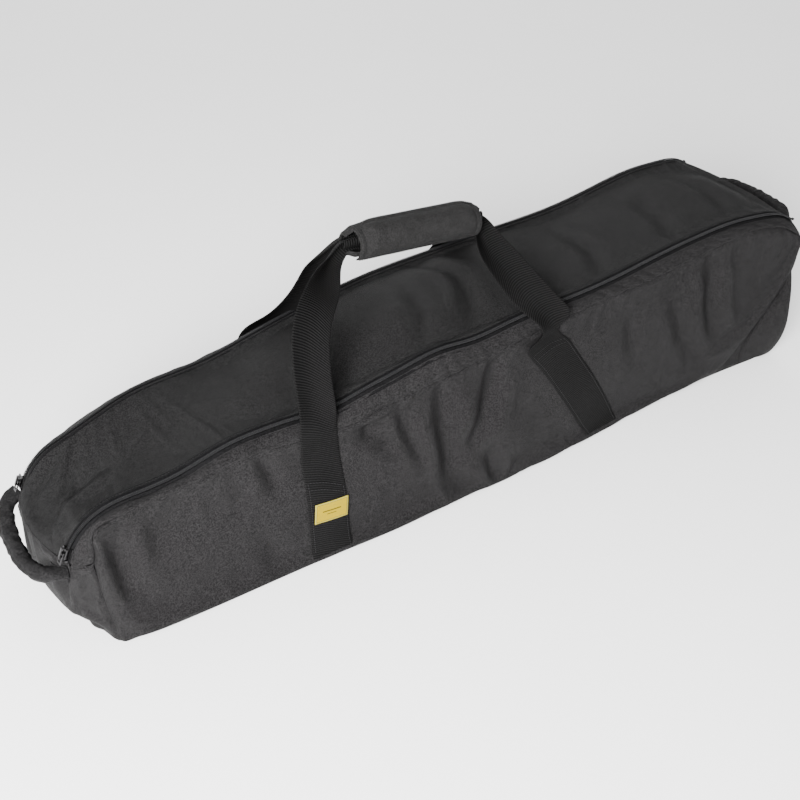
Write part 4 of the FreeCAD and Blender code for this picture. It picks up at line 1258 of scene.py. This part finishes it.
def bundle(name, side, replaced):
    """The webbing of one loop, folded lengthwise, where it runs through the grip."""
    count = 90
    s = np.linspace(-0.091, 0.091, count)
    wobble = 0.0010 * lattice_noise(s, 0 * s, 0.03, 7 + side)
    rows = []
    section = ((-0.0062, 0.0016), (-0.0030, 0.0040), (0.0, 0.0052), (0.0030, 0.0040), (0.0062, 0.0016))
    for height, depth in section:
        line = GRIP_CENTRE + s[:, None] * GRIP_ALONG + (height + wobble)[:, None] * GRIP_UP
        rows.append(line + side * depth * GRIP_BACK)
    grid = np.stack(rows, axis=1)
    obj = thick_piece(name, grid if side < 0 else grid[:, ::-1], 0.0018, WEBBING)
    subdivide(obj)
    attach(obj, "grip")
    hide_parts(replaced)


bundle("front_grip_bundle", -1, "front_grip_webbing")
bundle("back_grip_bundle", 1, "back_grip_webbing")


# ---------------------------------------------------------------- sewing on the straps


def sew_edges(name, grid, top):
    """Stitching along both edges of a strap up to a height, and twice across it there."""
    heights, middle = grid[:, COLUMNS // 2, 2], grid[:, COLUMNS // 2, 1]
    rows = np.nonzero((heights > 0.012) & (heights < top) & (np.abs(middle) > 0.09))[0]
    normal = grid_normals(grid)
    lines = []
    for column in (0.7, COLUMNS - 1.7):
        low = int(column)
        share = column - low
        outs = normal[rows, low]
        spots = grid[rows, low] * (1 - share) + grid[rows, low + 1] * share + outs * 0.0010
        lines.append((even(spots, 90), np.repeat(outs.mean(axis=0)[None], 90, axis=0)))
    for back in (1, 3):
        row = rows[-back]
        spots = grid[row, 1:-1] + normal[row, 1:-1] * 0.0010
        lines.append((even(spots, 30), np.repeat(normal[row, 5][None], 30, axis=0)))
    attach(stitches(name, lines, 0.0036), "case")


for strap, strap_grid, sewn_height in (
    ("front_left", front_left_grid, 0.106), ("back_left", back_left_grid, 0.100),
    ("front_right", front_right_grid, 0.165), ("back_right", back_right_grid, 0.160),
):
    sew_edges(f"{strap}_stitches", strap_grid, sewn_height)


# ---------------------------------------------------------------- label


def label_material():
    """A plain woven yellow label: a pale woven edge, a thin dark line inside it and two plain bars."""
    material, tree, shader = new_material("label_weave")
    uv = node(tree, "ShaderNodeTexCoord").outputs["UV"]
    split = node(tree, "ShaderNodeSeparateXYZ", {"Vector": uv})
    x, y = split.outputs["X"], split.outputs["Y"]
    width, height = LABEL_WIDTH, LABEL_HEIGHT

    def band(coordinate, low, high):
        above = maths(tree, "GREATER_THAN", coordinate, low)
        return maths(tree, "MULTIPLY", above, maths(tree, "LESS_THAN", coordinate, high))

    inside = maths(tree, "MULTIPLY", band(x, 0.0016, width - 0.0016), band(y, 0.0016, height - 0.0016))
    deeper = maths(tree, "MULTIPLY", band(x, 0.0023, width - 0.0023), band(y, 0.0023, height - 0.0023))
    frame_line = maths(tree, "SUBTRACT", inside, deeper)
    bar = maths(tree, "MULTIPLY", band(x, 0.009, width - 0.009), band(y, 0.0135, 0.0150))
    short = maths(tree, "MULTIPLY", band(x, 0.0145, width - 0.0145), band(y, 0.0095, 0.0105))
    bars = maths(tree, "MAXIMUM", bar, short)
    ink = maths(tree, "MAXIMUM", maths(tree, "MULTIPLY", frame_line, 0.55), bars)
    threads = maths(tree, "MULTIPLY", thread_wave(tree, x, 0.0006), thread_wave(tree, y, 0.0006))
    # painted shade: the yellow ground is lighter on the thread crowns and darker between them
    yarn = maths(tree, "MULTIPLY_ADD", threads, 0.25)
    yarn.node.inputs[2].default_value = 0.5
    ground = blend_colours(tree, yarn, (0.200, 0.142, 0.0), (0.270, 0.195, 0.0002))
    bordered = blend_colours(tree, inside, (0.22, 0.185, 0.030), ground)
    inked = blend_colours(tree, maths(tree, "MULTIPLY", ink, 0.85), bordered, (0.010, 0.008, 0.002))
    tree.links.new(inked, shader.inputs["Base Color"])
    bump = node(tree, "ShaderNodeBump", {"Height": threads, "Strength": 0.5, "Distance": 0.00015})
    tree.links.new(bump.outputs[0], shader.inputs["Normal"])
    shader.inputs["Roughness"].default_value = 0.6
    shader.inputs["Specular IOR Level"].default_value = 0.08
    return material


LABEL_WIDTH, LABEL_HEIGHT = 0.040, 0.026
LABEL_REACH = (-0.2185, -0.1865)
strap_surface = surface_tree([front_left_strap])
label_x = np.linspace(-LABEL_WIDTH / 2, LABEL_WIDTH / 2, 25)
label_z = np.linspace(-LABEL_HEIGHT / 2, LABEL_HEIGHT / 2, 17)
label_turn = math.radians(-5)
label_rows = []
for dx in label_x:
    column = []
    for dz in label_z:
        x = -0.2005 + dx * math.cos(label_turn) - dz * math.sin(label_turn)
        z = 0.0685 + dx * math.sin(label_turn) + dz * math.cos(label_turn)
        under = min(max(x, LABEL_REACH[0]), LABEL_REACH[1])
        spot, *_ = strap_surface.ray_cast(Vector((under, -SEARCH_START, z)), Vector((0, 1, 0)))
        column.append((x, spot.y - 0.0009, z))
    label_rows.append(column)
label_grid = relax(np.array(label_rows), 2)
label = thick_piece("label_piece", label_grid, 0.0007, label_material())
# its pattern is drawn from its lower left corner
label_uv = crossed(label_x + LABEL_WIDTH / 2, label_z + LABEL_HEIGHT / 2)
index = np.zeros(len(label.data.loops), int)
label.data.loops.foreach_get("vertex_index", index)
label.data.uv_layers[0].data.foreach_set("uv", np.concatenate([label_uv, label_uv])[index].ravel())
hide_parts("woven_label")
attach(label, "case")


# ---------------------------------------------------------------- end handles


def make_handle(side, line, seed):
    """A gathered fabric tube over a soft core, flattened where each end is sewn down."""
    count, sides = 181, 36
    points = path(line, count)
    along = np.linspace(0, length_of(points), count)
    total = along[-1]
    end_gap = np.minimum(along, total - along)
    flat_end = np.exp(-((end_gap / 0.014) ** 2))
    radius_a = 0.0088 + 0.0035 * flat_end
    radius_b = 0.0072 - 0.0046 * flat_end
    tangent = unit(np.gradient(points, axis=0))
    up = np.tile(np.array([0.0, 0.0, 1.0]), (count, 1))
    across = unit(np.cross(tangent, up))
    top = np.cross(across, tangent)
    angle = np.linspace(0, TWO_PI, sides, endpoint=False)
    grid = (
        points[:, None]
        + np.cos(angle)[None, :, None] * across[:, None] * radius_a[:, None, None]
        + np.sin(angle)[None, :, None] * top[:, None] * radius_b[:, None, None]
    )
    outwards = unit(grid - points[:, None])
    around = np.broadcast_to(angle[None] * 0.0088, grid.shape[:2])
    length = np.broadcast_to(along[:, None], grid.shape[:2])
    ripple = lattice_noise(length, around, 0.0055, seed)
    ripple = ripple + 0.7 * lattice_noise(length, around * 0.35, 0.0042, seed + 1)
    seam = np.exp(-((np.angle(np.exp(1j * (angle - 2.6))) / 0.16) ** 2))[None]
    wave = 0.0010 * ripple * (1 - 0.5 * flat_end[:, None]) - 0.0009 * seam
    grid = grid + outwards * wave[..., None]
    faces = grid_faces(count, sides, wrap_v=True)
    faces += [tuple(range(sides)), tuple(range(count * sides - 1, (count - 1) * sides - 1, -1))]
    uv = np.stack([length, around], axis=-1).reshape(-1, 2)
    obj = mesh_object(f"{side}_handle_tube", grid.reshape(-1, 3), faces, uv)
    finish_piece(obj, BINDING)
    subdivide(obj)
    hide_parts(f"{side}_handle_cover")
    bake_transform(obj)
    filling = points[12:-12]
    radii = [np.full(len(filling), radius) for radius in (0.0052, 0.0042)]
    core = mesh_object(f"{side}_handle_filling", *tube_arrays(filling, *radii, (0, 0, 1), 14, 0))
    finish_piece(core, HOOK)
    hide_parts(f"{side}_handle_core")
    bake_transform(core)
    return obj


left_handle = make_handle(
    "left",
    [
        (-0.4745, -0.082, 0.0985), (-0.484, -0.078, 0.0975), (-0.498, -0.069, 0.0955),
        (-0.5055, -0.052, 0.0945), (-0.5075, -0.020, 0.094), (-0.5055, 0.012, 0.095),
        (-0.499, 0.036, 0.098), (-0.489, 0.050, 0.101), (-0.4775, 0.054, 0.103),
    ],
    101,
)
right_handle = make_handle(
    "right",
    [
        (0.494, -0.080, 0.1885), (0.502, -0.076, 0.1885), (0.515, -0.066, 0.189),
        (0.522, -0.050, 0.1895), (0.524, -0.015, 0.190), (0.522, 0.020, 0.1895),
        (0.514, 0.036, 0.189), (0.502, 0.046, 0.1885), (0.494, 0.050, 0.1885),
    ],
    111,
)


def make_tabs(side, sign, surface, spots):
    """The doubled fabric patches that a handle's ends are sewn to."""
    tree = surface_tree([surface])
    for name, y, z in spots:
        rows = []
        for dy in np.linspace(-0.011, 0.011, 13):
            column = []
            for dz in np.linspace(-0.010, 0.008, 11):
                spot, *_ = tree.ray_cast(Vector((sign * 0.7, y + dy, z + dz)), Vector((-sign, 0, 0)))
                column.append(((sign * 0.48 if spot is None else spot.x) + sign * 0.0016, y + dy, z + dz))
            rows.append(column)
        grid = relax(np.array(rows), 4)
        grid = grid if sign > 0 else grid[::-1]
        obj = thick_piece(f"{side}_{name}_patch", grid, 0.0018, BINDING)
        subdivide(obj)
        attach(obj, "case")
        border = [grid[1:-1, 1], grid[-2, 1:-1], grid[1:-1, -2], grid[1, 1:-1]]
        out = np.array([sign, 0.0, 0.0])
        lines = [(even(edge + out * 0.0010, 24), np.tile(out, (24, 1))) for edge in border]
        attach(stitches(f"{side}_{name}_patch_stitches", lines, 0.003), "case")
        if name == "front":
            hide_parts(f"{side}_handle_tabs")


make_tabs("left", -1, left_panel, (("front", -0.074, 0.094), ("back", 0.044, 0.094)))
make_tabs("right", 1, right_panel, (("front", -0.074, 0.184), ("back", 0.044, 0.184)))


# ---------------------------------------------------------------- metal and board

METAL = ("front_slider_body", "back_slider_body", "front_pull", "back_pull", "zip_end_stops")
for name, finish in (*((name, NICKEL) for name in METAL), ("base_board", BOARD)):
    nodes[name].data.materials.clear()
    nodes[name].data.materials.append(finish)


# ---------------------------------------------------------------- floor, light and camera


def floor_material():
    """A pale, matt, very slightly uneven sweep."""
    material, tree, shader = new_material("pale_floor")
    place = node(tree, "ShaderNodeTexCoord").outputs["Object"]
    cloud = noise_of(tree, place, 3.0, 3.0)
    colour = blend_colours(tree, cloud, (0.86, 0.86, 0.86), (0.9, 0.9, 0.9))
    tree.links.new(colour, shader.inputs["Base Color"])
    shader.inputs["Roughness"].default_value = 0.9
    shader.inputs["Specular IOR Level"].default_value = 0.1
    return material


FLOOR_REACH = 60
floor_corners = [(a * FLOOR_REACH, b * FLOOR_REACH, 0) for a, b in ((-1, -1), (1, -1), (1, 1), (-1, 1))]
floor = mesh_object("floor", floor_corners, [(0, 1, 2, 3)], None, False)
floor.data.materials.append(floor_material())

world = bpy.data.worlds.new("studio")
world.use_nodes = True
world.node_tree.nodes["Background"].inputs["Color"].default_value = (1.0, 1.0, 1.0, 1)
world.node_tree.nodes["Background"].inputs["Strength"].default_value = 1.1
scene.world = world


def soft_light(name, position, target, size, power):
    data = bpy.data.lights.new(name, "AREA")
    data.shape = "DISK"
    data.size = size
    data.energy = power
    obj = bpy.data.objects.new(name, data)
    scene.collection.objects.link(obj)
    obj.location = position
    obj.rotation_euler = (Vector(target) - Vector(position)).to_track_quat("-Z", "Y").to_euler()


soft_light("key", (-1.5, -1.35, 1.15), (-0.1, 0.0, 0.1), 1.1, 265)
soft_light("back", (1.4, 3.2, 1.5), (0.0, 0.0, 0.1), 2.2, 55)

camera_data = bpy.data.cameras.new("camera")
camera_data.lens = 54.09
camera_data.sensor_width = 36.0
camera_data.clip_start = 0.05
camera = bpy.data.objects.new("camera", camera_data)
scene.collection.objects.link(camera)
camera.location = (-0.661, -0.956, 0.9425)
camera.rotation_euler = (math.radians(52.7), 0, math.radians(-33.2))
scene.camera = camera
